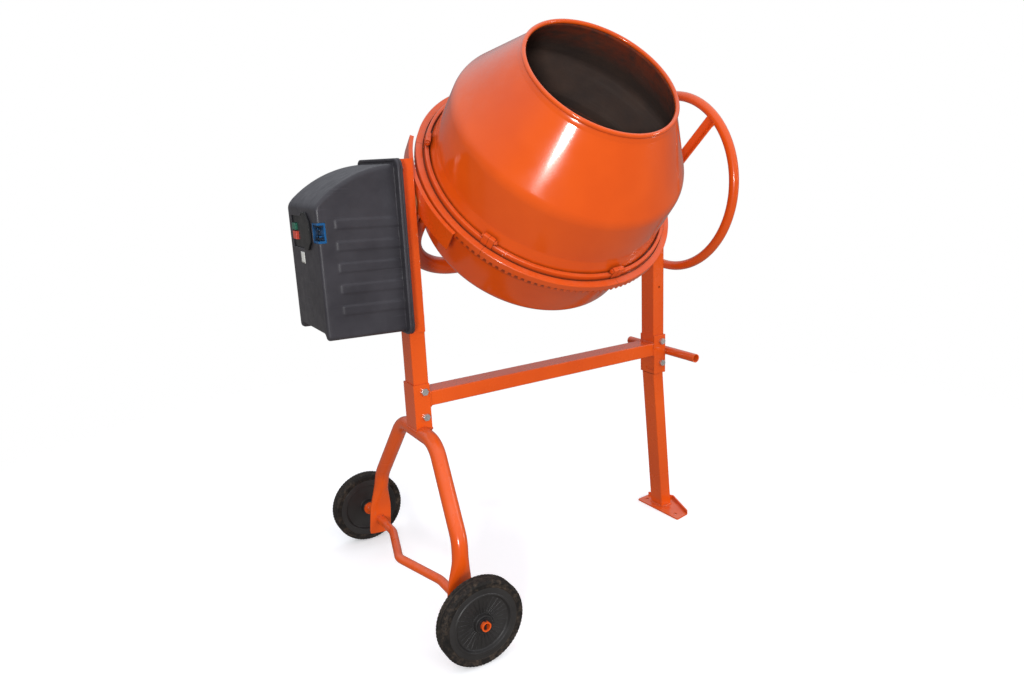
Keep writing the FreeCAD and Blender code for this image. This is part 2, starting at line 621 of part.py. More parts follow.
def make_bushes():
    face = POST_W / 2
    flanged = fused([ring(V(-face - BRACKET_PLATE, 0, TRUNNION_Z), X, BUSH_R, TRUNNION_R + RUN,
                          POST_W + BRACKET_PLATE),
                     ring(V(face, 0, TRUNNION_Z), X, 32.0, TRUNNION_R + RUN, 2.5)])
    add("trunnion_bush_left", flanged)
    start = POST_GAP - face
    flanged = fused([ring(V(start - 2.5, 0, TRUNNION_Z), X, 24.0, PIVOT_R + RUN, 2.5),
                     ring(V(start, 0, TRUNNION_Z), X, 20.0, PIVOT_R + RUN, POST_W)])
    add("trunnion_bush_right", flanged)
    bushes = [ring(V(x, 0, TRUNNION_Z), X, 15.0, SHAFT_R + RUN, 22.0) for x in (-30.0, 14.0)]
    group("pinion_bushes", bushes)


def make_hand_wheel():
    hub_x = POST_GAP + POST_W / 2 + 12.0
    centre = V(HAND_X, 0, TRUNNION_Z)
    rim = Part.makeTorus(HAND_R, HAND_TUBE, centre, X)
    hub = ring(V(hub_x, 0, TRUNNION_Z), X, 24.0, 15.0, 36.0)
    start = 20.0
    leaf, width = SPOKE_LEAF * math.sqrt(0.5), SPOKE_WIDTH * math.sqrt(0.5)
    section = [V(0, 0, start), V(-width, width, start), V(-width - leaf, width - leaf, start),
               V(-2 * leaf, 0, start), V(-width - leaf, leaf - width, start),
               V(-width, -width, start)]
    spokes = []
    for angle in HAND_ANGLES:
        spoke = outline(section, 0.0).extrude(V(0, 0, HAND_R - start))
        spoke.rotate(V(0, 0, start), Y, SPOKE_LEAN)
        spoke.translate(V(SPOKE_X, 0, TRUNNION_Z))
        spoke.rotate(V(0, 0, TRUNNION_Z), X, angle - 90.0)
        spokes.append(spoke.cut(rim))
    wheel = fused([hub, rim] + spokes).cut(Part.makeTorus(HAND_R, HAND_TUBE - 2.0, centre, X))
    wheel = wheel.cut(rod(V(hub_x - 5, 0, TRUNNION_Z), X, 15.0, 60.0))
    add("hand_wheel", wheel)
    discs = [ring(V(x, 0, TRUNNION_Z), X, radius, 15.0, thick)
             for x, radius, thick in ((hub_x - 11.7, 40.0, 4.0), (hub_x - 7.7, 36.0, 3.0),
                                      (hub_x - 4.7, 30.0, 4.7))]
    group("brake_discs", discs)
    add("hand_wheel_nut", fused([nut(V(hub_x + 36.0, 0, TRUNNION_Z), X, 36.0, 10.0, 15.0),
                                 ring(V(hub_x + 36.0, 0, TRUNNION_Z), X, 22.0, 15.0, 3.0)]))


# ---------------------------------------------------------------- drive
def make_drive():
    module = 2 * TOOTH_OUT / RING_TEETH
    points = gear_points(PINION_TEETH, module, PINION_ADDENDUM, PINION_DEDENDUM,
                         RING_BACKLASH, math.pi / 2 + math.radians(TILT))
    wires = [gear_wire(points, -TOOTH_OUT), gear_wire(points, -TOOTH_IN, TOOTH_IN / TOOTH_OUT)]
    pinion = Part.makeLoft(wires, True, True)
    pinion = pinion.fuse(rod(V(-TOOTH_OUT - 3, 0, 0), X, 20.0, 5))
    pinion = pinion.cut(rod(V(-TOOTH_OUT - 5, 0, 0), X, SHAFT_R, 60))
    pinion.translate(TRUNNION)
    add("drive_pinion", pinion)

    shaft_end = -62.0
    shaft = rod(V(shaft_end, 0, TRUNNION_Z), X, SHAFT_R, DRUM_X - TOOTH_IN - shaft_end)
    add("pinion_shaft", shaft)
    pulley_x = -52.0
    add("large_pulley", pulley(V(pulley_x, 0, TRUNNION_Z), PULLEY_BIG, SHAFT_R))
    add("small_pulley", pulley(V(pulley_x, OUTPUT_Y, OUTPUT_Z), PULLEY_SMALL, 8.0))
    add("drive_belt", belt(pulley_x))

    motor_z = OUTPUT_Z - GEAR_MODULE * (BIG_TEETH + SMALL_TEETH) / 2
    output_axis, motor_axis = V(0, OUTPUT_Y, OUTPUT_Z), V(0, OUTPUT_Y, motor_z)
    tall, deep = 0.85 * GEAR_MODULE, 1.15 * GEAR_MODULE
    down, up = -math.pi / 2, math.pi / 2
    big = gear_points(BIG_TEETH, GEAR_MODULE, tall, deep, 0.25, down)
    small = gear_points(SMALL_TEETH, GEAR_MODULE, tall, deep, 0.25, up + math.pi / SMALL_TEETH)
    gear_x, gear_w = -86.0, 12.0
    big = Part.Face(gear_wire(big, gear_x)).extrude(V(gear_w, 0, 0))
    big.translate(output_axis)
    shaft = rod(V(gear_x - 6, OUTPUT_Y, OUTPUT_Z), X, 8.0, 52.0)
    add("output_shaft", fused([big, shaft]))
    small = Part.Face(gear_wire(small, gear_x)).extrude(V(gear_w + 2, 0, 0))
    small.translate(motor_axis)
    rotor = rod(V(-204, OUTPUT_Y, motor_z), X, 6.0, 204 + gear_x + gear_w + 6)
    core = rod(V(-175, OUTPUT_Y, motor_z), X, 30.0, 60.0)
    fan = [ring(V(-203, OUTPUT_Y, motor_z), X, 14.0, 5.0, 8.0)]
    for k in range(8):
        vane = block(-203, -196, -1.0, 1.0, 12, 46)
        vane.rotate(V(), X, 45 * k)
        vane.translate(V(0, OUTPUT_Y, motor_z))
        fan.append(vane)
    add("motor_rotor", fused([small, rotor, core] + fan))

    case_x0, case_x1 = -98.0, -62.0
    loop = [V(case_x0, OUTPUT_Y - 62, motor_z - 62), V(case_x0, OUTPUT_Y + 62, motor_z - 62),
            V(case_x0, OUTPUT_Y + 52, OUTPUT_Z + 52), V(case_x0, OUTPUT_Y - 52, OUTPUT_Z + 52)]
    case = outline(loop, [50, 50, 45, 45]).extrude(V(case_x1 - case_x0, 0, 0))
    rooms = [rod(V(case_x0 + 6, OUTPUT_Y, OUTPUT_Z), X, 45.5, case_x1 - case_x0 - 12),
             rod(V(case_x0 + 6, OUTPUT_Y, motor_z), X, 16.0, case_x1 - case_x0 - 12),
             rod(V(-200, OUTPUT_Y, OUTPUT_Z), X, 8.0 + RUN, 160),
             rod(V(-200, OUTPUT_Y, motor_z), X, 6.0 + RUN, 135)]
    posts = [rod(V(case_x1, OUTPUT_Y + dy, z), X, 6.0, -POST_W / 2 - BRACKET_PLATE - case_x1)
             for dy, z in ((-50, motor_z - 35), (50, motor_z - 35), (-43, OUTPUT_Z + 8),
                           (42, OUTPUT_Z + 30))]
    add("gearhead_case", fused([case] + posts).cut(rooms))

    body = rod(V(-190, OUTPUT_Y, motor_z), X, MOTOR_R, 190 + case_x0)
    hollow = [rod(V(-180, OUTPUT_Y, motor_z), X, 32.0, 70),
              rod(V(-200, OUTPUT_Y, motor_z), X, 6.0 + RUN, 120)]
    fins = []
    for k in range(24):
        fin = block(-184, case_x0 - 8, -1.2, 1.2, MOTOR_R - 2, MOTOR_R + 4)
        fin.rotate(V(), X, 15 * k + 7.5)
        fin.translate(V(0, OUTPUT_Y, motor_z))
        fins.append(fin)
    add("motor_body", fused([body] + fins).cut(hollow))


def pulley(centre, belt_radius, bore):
    """A flat-belt wheel with two flanges, centred on its bore axis."""
    half = 8.0
    profile = [(bore, -half), (belt_radius + 2, -half), (belt_radius + 2, -half + 2),
               (belt_radius - BELT_T / 2, -half + 2), (belt_radius - BELT_T / 2, half - 2),
               (belt_radius + 2, half - 2), (belt_radius + 2, half), (bore, half)]
    wheel = turned(profile)
    wheel.Placement = FreeCAD.Placement(centre, FreeCAD.Rotation(Z, X))
    return wheel


def belt(x):
    """Closed belt round both pulleys, clear of them by a hair so that they can turn."""
    hair = 0.3
    half = 5.2
    a, b = V(x, 0, TRUNNION_Z), V(x, OUTPUT_Y, OUTPUT_Z)
    loops = []
    for grow in (BELT_T / 2, -BELT_T / 2 + hair):
        hulls = [rod(a - X * half, X, PULLEY_BIG + grow, 2 * half),
                 rod(b - X * half, X, PULLEY_SMALL + grow, 2 * half)]
        along = b - a
        lean = math.asin((PULLEY_BIG - PULLEY_SMALL) / along.Length)
        unit = V(0, along.y, along.z).normalize()
        side = V(0, -unit.z, unit.y)
        corners = []
        for sign in (1, -1):
            out = side * (sign * math.cos(lean)) + unit * math.sin(lean)
            first, last = a + out * (PULLEY_BIG + grow), b + out * (PULLEY_SMALL + grow)
            corners += [first, last] if sign > 0 else [last, first]
        corners = [c - X * half for c in corners]
        hulls.append(Part.Face(Part.makePolygon(corners + corners[:1])).extrude(X * 2 * half))
        loops.append(fused(hulls))
    return loops[0].cut(loops[1])


# ---------------------------------------------------------------- motor housing
def housing_form(inset):
    """Outer (inset 0) or inner form of the cover: arched top, drafted end, round corners."""
    x0, x1 = HOUSE_FRONT + inset, HOUSE_BACK
    floor_end, floor_back = 692.0 + inset, 686.0 + inset
    crown = [V(x1, 0, CROWN_BACK - inset), V(-128, 0, CROWN_MIDDLE - inset),
             V(x0 + 12, 0, CROWN_END - inset)]
    arch = Part.Arc(*crown).toShape()
    sides = Part.makePolygon([crown[2], V(x0, 0, NOSE_Z - inset), V(x0, 0, floor_end),
                              V(x1, 0, floor_back), crown[0]])
    face = Part.Face(Part.Wire([arch] + sides.Edges))
    body = face.extrude(V(0, HOUSE_Y1 - HOUSE_Y0 - 2 * inset, 0))
    body.translate(V(0, HOUSE_Y0 + inset, 0))
    edges = []
    for e in body.Edges:
        box = e.BoundBox
        if box.XMin > x1 - 0.1 or (box.ZMin > 900 and box.YLength > 50):
            continue
        if box.YLength > 50 and box.XLength < 0.1:
            edges.append(e)
        elif box.YLength < 0.1:
            edges.append(e)
    return body.makeFillet(max(9.0 - inset, 3.0), edges)


INLET_Z0, INLET_Z1 = 906.0, 950.0
INLET_Y1 = -6.0
INLET_X1 = -198.0
WINDOW_Y0, WINDOW_Y1, WINDOW_Z0, WINDOW_Z1 = 62.0, 150.0, 888.0, 960.0
FLAP_X, PIN_Z, PIN_R = HOUSE_FRONT - 3.4, 968.0, 1.2   # the flap's hinge pin
LUG_Y = (26.0, 48.0)
SCREW_LENGTH = 11.5     # through bracket and back plate into the lip


def make_housing():
    cover = housing_form(0.0)
    lip = outline([V(HOUSE_BACK, FLANGE_Y0, FLANGE_Z0), V(HOUSE_BACK, FLANGE_Y1, FLANGE_Z0),
                   V(HOUSE_BACK, FLANGE_Y1, FLANGE_Z1), V(HOUSE_BACK, FLANGE_Y0, FLANGE_Z1)], 22.0)
    lip = lip.extrude(V(-HOUSE_LIP, 0, 0))
    ribs = []
    for k in range(5):
        top = 950.0 - 47.0 * k
        rib = block(-172.0 - 4.5 * k, -44.0, HOUSE_Y0 - 2.0, HOUSE_Y0 + 1.0, top - 17.0, top)
        ribs.append(rib.makeFillet(1.8, [e for e in rib.Edges if e.BoundBox.YMax < HOUSE_Y0]))
    whole = fused([cover, lip] + ribs)
    notch = block(HOUSE_FRONT - 5, INLET_X1, HOUSE_Y0 - 5, INLET_Y1, INLET_Z0, INLET_Z1)
    window = block(HOUSE_FRONT - 5, HOUSE_FRONT + 10, WINDOW_Y0, WINDOW_Y1, WINDOW_Z0, WINDOW_Z1)
    whole = whole.cut([housing_form(HOUSE_WALL), notch, window])
    lugs = [block(FLAP_X - 2.6, HOUSE_FRONT, y - 2, y + 2, PIN_Z - 2.6, PIN_Z + 2.6)
            for y in LUG_Y]
    whole = fused([whole] + lugs).cut(rod(V(FLAP_X, LUG_Y[0] - 5, PIN_Z), Y, PIN_R + RUN, 60))
    add("housing_cover", whole)

    plate = outline([V(HOUSE_BACK, FLANGE_Y0, FLANGE_Z0), V(HOUSE_BACK, FLANGE_Y1, FLANGE_Z0),
                     V(HOUSE_BACK, FLANGE_Y1, FLANGE_Z1), V(HOUSE_BACK, FLANGE_Y0, FLANGE_Z1)],
                    22.0).extrude(V(-POST_W / 2 - BRACKET_PLATE - HOUSE_BACK, 0, 0))
    window = block(-60, 0, HOUSE_Y0 + 12, HOUSE_Y1 - 12, 705, 1030)
    add("housing_back", plate.cut(window))

    screws, cutters = [], []
    for y, z in ((FLANGE_Y0 + 14, 705), (FLANGE_Y0 + 14, 880), (FLANGE_Y0 + 14, 1053),
                 (FLANGE_Y1 - 24, 1058)):
        head = V(-POST_W / 2, y, z)
        screws.append(fused([rod(head, X, 4.5, 2.5), rod(head, -X, 2.0, SCREW_LENGTH)]))
        cutters.append(rod(head, -X, 2.0, SCREW_LENGTH))
    for name in ("housing_cover", "housing_back", "motor_bracket"):
        nodes[name] = nodes[name].cut(cutters)
    group("housing_screws", screws)


def make_switch():
    """Start and stop buttons in a recess, a flap beside them and the plug inlet."""
    face_x = HOUSE_FRONT
    base = block(face_x + 3.2, face_x + 6, WINDOW_Y0 - 20, WINDOW_Y1 + 3,
                 WINDOW_Z0 - 4, WINDOW_Z1 + 4)
    box = block(face_x + 6, face_x + 17, 50, 150, WINDOW_Z0 + 2, WINDOW_Z1 - 2)
    caps = (("start_button", 116.0, 140.0, 927.5, 943.0),
            ("stop_button", 112.0, 139.0, 906.0, 924.5))
    wells, springs = [], []
    for name, y0, y1, z0, z1 in caps:
        wells.append(block(face_x, face_x + 14, y0 - 0.5, y1 + 0.5, z0 - 0.5, z1 + 0.5))
        cap = block(face_x - 3.0, face_x + 9.0, y0, y1, z0, z1)
        cap = cap.makeFillet(1.5, [e for e in cap.Edges if e.BoundBox.XMax < face_x - 2.9])
        middle = V(face_x + 3.0, (y0 + y1) / 2, (z0 + z1) / 2)
        add(name, cap.cut(rod(middle, X, 4.6, 10)))
        springs.append(ring(middle + X * 3.1, X, 4.0, 2.8, 7.9))
    add("switch_body", fused([base, box]).cut(wells))
    group("button_springs", springs)

    back, front = FLAP_X + 1.6, FLAP_X - 1.8
    top = PIN_Z + 2.2
    corners = [V(back, 51, top), V(back, 23, top), V(back, 0, 951), V(back, -2, 907),
               V(back, 22, 888), V(back, 44, 888), V(back, 70, 907), V(back, 71, 953)]
    flap = outline(corners, 5.0).extrude(V(front - back, 0, 0))
    notches = [block(front - 1, back + 1, y - 2.4, y + 2.4, PIN_Z - 5, top + 1) for y in LUG_Y]
    pin = rod(V(FLAP_X, LUG_Y[0] - 4, PIN_Z), Y, PIN_R, LUG_Y[1] - LUG_Y[0] + 8)
    add("switch_flap", fused([flap.cut(notches), pin]))

    shell = block(face_x + 1, INLET_X1 - 0.2, HOUSE_Y0 + 0.5, INLET_Y1 - 0.2,
                  INLET_Z0 + 0.3, INLET_Z1 - 0.3)
    room = block(face_x - 5, INLET_X1 - 4, HOUSE_Y0 - 5.0, INLET_Y1 - 4.0,
                 INLET_Z0 + 5, INLET_Z1 - 5)
    pins = [rod(V(INLET_X1 - 3, y, z), -X, 2.2, 9.0)
            for y, z in ((-24, 937), (-34, 920), (-15, 920))]
    add("power_inlet", fused([shell.cut(room)] + pins))


# ---------------------------------------------------------------- build and save
make_frame()
make_stand()
make_leg()
make_frame_bolts()
make_wheels()
make_drum()
make_ring_gear()
make_yoke()
make_bushes()
make_hand_wheel()
make_drive()
make_housing()
make_switch()

for name, shape in nodes.items():
    shape.translate(-ORIGIN)
    solids = len(shape.Solids)
    if not shape.isValid() or solids == 0:
        print("PROBLEM", name, "valid", shape.isValid(), "solids", solids)
    shape.exportStep("parts/%s.step" % name)
print(len(nodes), "nodes, origin at", ORIGIN)
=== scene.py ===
"""Looks of the tilting-drum concrete mixer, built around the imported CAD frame.

Lengths in the lists below are millimetres along the machine's own axes (x from the motor
side to the hand wheel, y = 0 at the uprights, z = 0 the floor); at() turns them into the
frame's metres.  Pieces of the drum are drawn round its own axis, as (radius, height)."""
import json
import math
import random

import bmesh
import bpy
from mathutils import Matrix, Vector


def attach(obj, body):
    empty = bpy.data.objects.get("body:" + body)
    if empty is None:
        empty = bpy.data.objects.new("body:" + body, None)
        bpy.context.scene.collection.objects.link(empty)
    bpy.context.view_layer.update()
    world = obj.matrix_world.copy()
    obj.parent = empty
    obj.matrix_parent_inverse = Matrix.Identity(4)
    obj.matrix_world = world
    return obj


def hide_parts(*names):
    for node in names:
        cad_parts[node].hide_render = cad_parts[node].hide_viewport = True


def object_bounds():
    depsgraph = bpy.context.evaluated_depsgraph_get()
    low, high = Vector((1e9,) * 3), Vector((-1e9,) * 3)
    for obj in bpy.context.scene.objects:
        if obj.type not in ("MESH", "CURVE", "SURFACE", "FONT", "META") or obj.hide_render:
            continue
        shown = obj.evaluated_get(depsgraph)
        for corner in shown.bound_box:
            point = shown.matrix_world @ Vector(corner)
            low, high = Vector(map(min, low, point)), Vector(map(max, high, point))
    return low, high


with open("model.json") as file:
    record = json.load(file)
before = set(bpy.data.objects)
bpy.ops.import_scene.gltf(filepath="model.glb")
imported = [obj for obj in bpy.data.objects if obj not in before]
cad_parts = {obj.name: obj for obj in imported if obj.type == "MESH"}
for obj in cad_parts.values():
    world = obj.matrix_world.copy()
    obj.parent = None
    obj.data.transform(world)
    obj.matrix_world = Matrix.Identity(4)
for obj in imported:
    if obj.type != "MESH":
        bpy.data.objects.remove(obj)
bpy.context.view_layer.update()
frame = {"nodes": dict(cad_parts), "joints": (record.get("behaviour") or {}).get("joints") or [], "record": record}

MM = 0.001
X, Y, Z = Vector((1, 0, 0)), Vector((0, 1, 0)), Vector((0, 0, 1))
joints = {j["name"]: j for j in frame["joints"]}
TILT_POINT = Vector(joints["yoke_tilt"]["pos_m"])
DRUM_AXIS = Vector(joints["drum_spin"]["axis"])
DRUM_CENTRE = Vector((376.0, 0.0, 974.5))      # the same tilt point in machine millimetres
ORIGIN = DRUM_CENTRE * MM - TILT_POINT


def at(x, y, z):
    """A point given in machine millimetres, in the frame's metres."""
    return Vector((x, y, z)) * MM - ORIGIN


def frame_matrix(right, up, out, place):
    """A frame with these three axes at this place."""
    return Matrix.Translation(place) @ Matrix((right, up, out)).transposed().to_4x4()


DRUM = frame_matrix(X, DRUM_AXIS.cross(X), DRUM_AXIS, TILT_POINT)

# ------------------------------------------------------------------ view and light
CAMERA_AT = at(-686.73, -1626.71, 1070.72)
YAW, PITCH, ROLL = (math.radians(a) for a in (-30.53, -13.88, -2.67))
LENS, SENSOR, FAR_CLIP = 26.487, 36.0, 60.0
FORWARD = Vector((-math.sin(YAW) * math.cos(PITCH), math.cos(YAW) * math.cos(PITCH),
                  math.sin(PITCH)))

# The surround's light from straight down (0) over the horizon (0.5) to straight up (1).
SKY_DOWN, SKY_UP = (0.30, 0.28, 0.26, 1.0), (0.95, 0.97, 1.02, 1.0)
SKY_BETWEEN = ((0.46, (0.22, 0.21, 0.20, 1.0)), (0.58, (0.21, 0.22, 0.24, 1.0)),
               (0.68, (0.50, 0.52, 0.56, 1.0)), (0.82, (0.88, 0.90, 0.96, 1.0)))

# Lamps, in the frame's metres apart from the spot on the drum's cone that the flash aims at.
FLASH_SPOT = at(222.0, -329.0, 1070.0)
FLASH_FROM, FLASH_AWAY = Vector((-0.622, -0.783, 0.017)), 3.2
FLASH_SIZE, FLASH_WATTS = (0.42, 0.39), 64.0
FRONT_AT, FRONT_TO, FRONT_SIZE, FRONT_WATTS = (0.9, -4.2, 2.0), (0, 0, 0.7), (2.4, 1.8), 49.0
STRIP_AT, STRIP_TO, STRIP_SIZE, STRIP_WATTS = (3.2, -2.2, 1.5), (0, 0, 0.9), (0.16, 2.4), 22.0

# The floor's half width, its gap under the object, the distances from the object's middle
# where it begins and ends fading out, and its own glow.
FLOOR_REACH, FLOOR_GAP = 6.0, 0.0005
FADE_FROM, FADE_TO = 0.8, 2.2
FLOOR_GREY, FLOOR_GLOW = (0.93, 0.93, 0.93), 0.26


def make_camera():
    """The camera at the reference view, with its roll."""
    level = Vector((math.cos(YAW), math.sin(YAW), 0.0))
    upright = level.cross(FORWARD)
    right = level * math.cos(ROLL) + upright * math.sin(ROLL)
    up = upright * math.cos(ROLL) - level * math.sin(ROLL)
    data = bpy.data.cameras.new("camera")
    data.lens, data.sensor_width = LENS, SENSOR
    data.clip_end = FAR_CLIP
    camera = bpy.data.objects.new("camera", data)
    bpy.context.scene.collection.objects.link(camera)
    camera.matrix_world = frame_matrix(right, up, -FORWARD, CAMERA_AT)
    bpy.context.scene.camera = camera


def area_light(name, place, target, size, power, shines=True):
    """A rectangular lamp; one that doesn't shine lights surfaces but isn't mirrored in them."""
    data = bpy.data.lights.new(name, "AREA")
    data.shape = "RECTANGLE"
    data.size, data.size_y = size
    data.energy = power
    lamp = bpy.data.objects.new(name, data)
    bpy.context.scene.collection.objects.link(lamp)
    lamp.location = place
    lamp.visible_glossy = shines
    lamp.rotation_euler = (Vector(place) - Vector(target)).to_track_quat("Z", "Y").to_euler()


def make_stage():
    """Soft studio surround that the camera sees as plain white, and three lamps."""
    world = bpy.data.worlds.new("studio")
    bpy.context.scene.world = world
    world.use_nodes = True
    tree = world.node_tree
    direction = tree.nodes.new("ShaderNodeTexCoord").outputs["Generated"]
    height = tree.nodes.new("ShaderNodeSeparateXYZ")
    tree.links.new(direction, height.inputs[0])
    sky = tree.nodes.new("ShaderNodeValToRGB")
    stretch = tree.nodes.new("ShaderNodeMapRange")
    stretch.inputs["From Min"].default_value = -1.0
    tree.links.new(height.outputs["Z"], stretch.inputs["Value"])
    tree.links.new(stretch.outputs[0], sky.inputs["Fac"])
    steps = sky.color_ramp.elements
    steps[0].position, steps[0].color = 0.0, SKY_DOWN
    steps[1].position, steps[1].color = 1.0, SKY_UP
    for place, tone in SKY_BETWEEN:
        steps.new(place).color = tone
    surround = tree.nodes["Background"]
    tree.links.new(sky.outputs["Color"], surround.inputs["Color"])
    surround.inputs["Strength"].default_value = 1.0
    plain = tree.nodes.new("ShaderNodeBackground")
    plain.inputs["Color"].default_value = (1.0, 1.0, 1.0, 1.0)
    seen = tree.nodes.new("ShaderNodeLightPath")
    choose = tree.nodes.new("ShaderNodeMixShader")
    tree.links.new(seen.outputs["Is Camera Ray"], choose.inputs[0])
    tree.links.new(surround.outputs[0], choose.inputs[1])
    tree.links.new(plain.outputs[0], choose.inputs[2])
    tree.links.new(choose.outputs[0], tree.nodes["World Output"].inputs["Surface"])
    bpy.context.scene.view_settings.view_transform = "Standard"

    flash_at = FLASH_SPOT + FLASH_FROM * FLASH_AWAY
    area_light("flash", flash_at, FLASH_SPOT, FLASH_SIZE, FLASH_WATTS)
    area_light("front", FRONT_AT, FRONT_TO, FRONT_SIZE, FRONT_WATTS, shines=False)
    area_light("tall_strip", STRIP_AT, STRIP_TO, STRIP_SIZE, STRIP_WATTS)


def make_floor():
    """Plain pale floor with soft shadows that fades into the white surround."""
    low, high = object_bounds()
    mesh = bpy.data.meshes.new("floor")
    ground = low[2] - FLOOR_GAP
    corners = [(x * FLOOR_REACH, y * FLOOR_REACH, ground)
               for x, y in ((-1, -1), (1, -1), (1, 1), (-1, 1))]
    mesh.from_pydata(corners, [], [(0, 1, 2, 3)])
    floor = bpy.data.objects.new("floor", mesh)
    bpy.context.scene.collection.objects.link(floor)
    s = Shader("pale_floor", rough=0.9)
    s.colour(FLOOR_GREY)
    s.surface.inputs["Specular IOR Level"].default_value = 0.0
    s.surface.inputs["Emission Color"].default_value = (1.0, 1.0, 1.0, 1.0)
    s.surface.inputs["Emission Strength"].default_value = FLOOR_GLOW
    away = s.node("VectorMath")
    away.operation = "DISTANCE"
    s.put(away.inputs[0], s.place)
    away.inputs[1].default_value = ((low[0] + high[0]) / 2, (low[1] + high[1]) / 2, low[2])
    solid = s.level(away.outputs["Value"], FADE_FROM, FADE_TO, 1.0, 0.0)
    s.put(s.surface.inputs["Alpha"], solid)
    mesh.materials.append(s.material)
    for rays in ("visible_diffuse", "visible_glossy", "visible_shadow", "visible_transmission"):
        setattr(floor, rays, False)


# ------------------------------------------------------------------ materials
class Shader:
    """A principled material built from nodes. Its helpers return sockets."""

    def __init__(self, name, rough=0.5, metal=0.0, coat=0.0, coat_rough=0.05):
        self.material = bpy.data.materials.new(name)
        self.material.use_nodes = True
        self.tree = self.material.node_tree
        self.surface = self.tree.nodes["Principled BSDF"]
        self.place = self.node("TexCoord").outputs["Object"]
        for socket, value in (("Roughness", rough), ("Metallic", metal), ("Coat Weight", coat),
                              ("Coat Roughness", coat_rough)):
            self.surface.inputs[socket].default_value = value

    def node(self, kind, **inputs):
        """A new node; an input's name has _ where its socket has a space."""
        made = self.tree.nodes.new("ShaderNode" + kind)
        for socket, value in inputs.items():
            self.put(made.inputs[socket.replace("_", " ")], value)
        return made

    def put(self, socket, value):
        """Links a socket, or sets a number, a colour or a vector."""
        if isinstance(value, bpy.types.NodeSocket):
            self.tree.links.new(value, socket)
        elif isinstance(value, tuple) and len(socket.default_value) == 4:
            socket.default_value = (*value, 1.0)
        else:
            socket.default_value = value

    def stretched(self, factors, place=None):
        """Coordinates that draw a pattern out along the axes with small factors."""
        return self.node("Mapping", Vector=place or self.place, Scale=factors).outputs[0]

    def noise(self, scale, detail, rough=0.55, place=None):
        """A cloudy pattern, 0 to 1; a larger scale makes it finer."""
        made = self.node("TexNoise", Vector=place or self.place, Scale=scale, Detail=detail,
                         Roughness=rough)
        return made.outputs["Fac"]

    def cells(self, scale):
        """A pebbled pattern that is 0 at the middle of each cell."""
        return self.node("TexVoronoi", Vector=self.place, Scale=scale).outputs["Distance"]

    def level(self, value, low, high, out_low=0.0, out_high=1.0):
        """The value from low to high, held to that range, made out_low to out_high."""
        made = self.node("MapRange", Value=value)
        for k, number in enumerate((low, high, out_low, out_high)):
            made.inputs[k + 1].default_value = number
        return made.outputs[0]

    def math(self, operation, a, b):
        made = self.node("Math")
        made.operation = operation
        self.put(made.inputs[0], a)
        self.put(made.inputs[1], b)
        return made.outputs[0]

    def dot(self, a, b):
        made = self.node("VectorMath")
        made.operation = "DOT_PRODUCT"
        self.put(made.inputs[0], a)
        self.put(made.inputs[1], b)
        return made.outputs["Value"]

    def mix(self, share, a, b):
        """The colour a where share is 0, and b where it is 1."""
        made = self.node("Mix")
        made.data_type = "RGBA"
        for socket, value in ((made.inputs[0], share), (made.inputs[6], a), (made.inputs[7], b)):
            self.put(socket, value)
        return made.outputs[2]

    def facing(self, direction):
        """How far the surface turns towards a fixed direction, -1 to 1."""
        return self.dot(self.node("NewGeometry").outputs["Normal"], direction)

    def round_edges(self, radius):
        """The normal with its sharp edges rounded off."""
        made = self.node("Bevel", Radius=radius)
        made.samples = 4
        return made.outputs["Normal"]

    def edge(self, radius):
        """1 along convex and concave edges, 0 on flat stretches."""
        bent = self.dot(self.round_edges(radius), self.node("NewGeometry").outputs["Normal"])
        return self.level(bent, 0.93, 0.80)

    def corner(self, distance):
        """1 in corners and gaps, 0 in the open."""
        made = self.node("AmbientOcclusion", Distance=distance)
        made.samples = 4
        return self.level(made.outputs["AO"], 0.9, 0.3)

    def bump(self, height, depth, normal=None):
        """The normal bent by a height that goes from 0 to depth metres."""
        made = self.node("Bump", Height=height, Distance=depth, Strength=1.0)
        if normal is not None:
            self.put(made.inputs["Normal"], normal)
        return made.outputs[0]

    def colour(self, value):
        self.put(self.surface.inputs["Base Color"], value)

    def roughness(self, value):
        self.put(self.surface.inputs["Roughness"], value)

    def normal(self, value):
        self.put(self.surface.inputs["Normal"], value)


ORANGE, ORANGE_DEEP = (0.80, 0.102, 0.0075), (0.70, 0.080, 0.0055)
# The next line's second colour is the dark orange that paints shade into gaps and under the ring gear.
ORANGE_SPECK, GAP_SHADE_ORANGE = (0.88, 0.22, 0.06), (0.075, 0.018, 0.008)
DUST, PRIMER, CORNER_DARK = (0.46, 0.40, 0.33), (0.10, 0.085, 0.075), (0.09, 0.065, 0.045)
PRIMER_BROWN, PRIMER_DARK = (0.125, 0.078, 0.060), (0.075, 0.056, 0.050)
CEMENT_HAZE = (0.20, 0.17, 0.15)
# The inlet's blue, the near black of its painted shade down inside, and the light blue of its painted rim
# highlight.
INLET_BLUE, INLET_SHADE, INLET_RIM_HIGHLIGHT = (0.004, 0.085, 0.24), (0.001, 0.006, 0.016), (0.015, 0.17, 0.42)
TYRE_BLACK, TYRE_GREY = (0.0085, 0.008, 0.0075), (0.015, 0.013, 0.012)
TYRE_DUST = (0.19, 0.135, 0.095)
SPRAY_FROM, SPRAY_TO = 0.25, 0.364      # heights in the drum where overspray begins and ends
# the most that the band of painted shade under the ring gear darkens the bowl
SHADE_BAND_COVER = 0.66
GRAIN = 900.0                           # scale of the moulded plastic's grain


def along_drum(s):
    """The drum's own coordinates, and the height above the tilt axis along the drum's axis."""
    local = s.node("Mapping", Vector=s.place)
    local.inputs["Rotation"].default_value = (-math.acos(DRUM_AXIS.z), 0.0, 0.0)
    apart = s.node("SeparateXYZ", Vector=local.outputs[0])
    height = s.math("SUBTRACT", apart.outputs["Z"], DRUM.translation.dot(DRUM_AXIS))
    return local.outputs[0], height


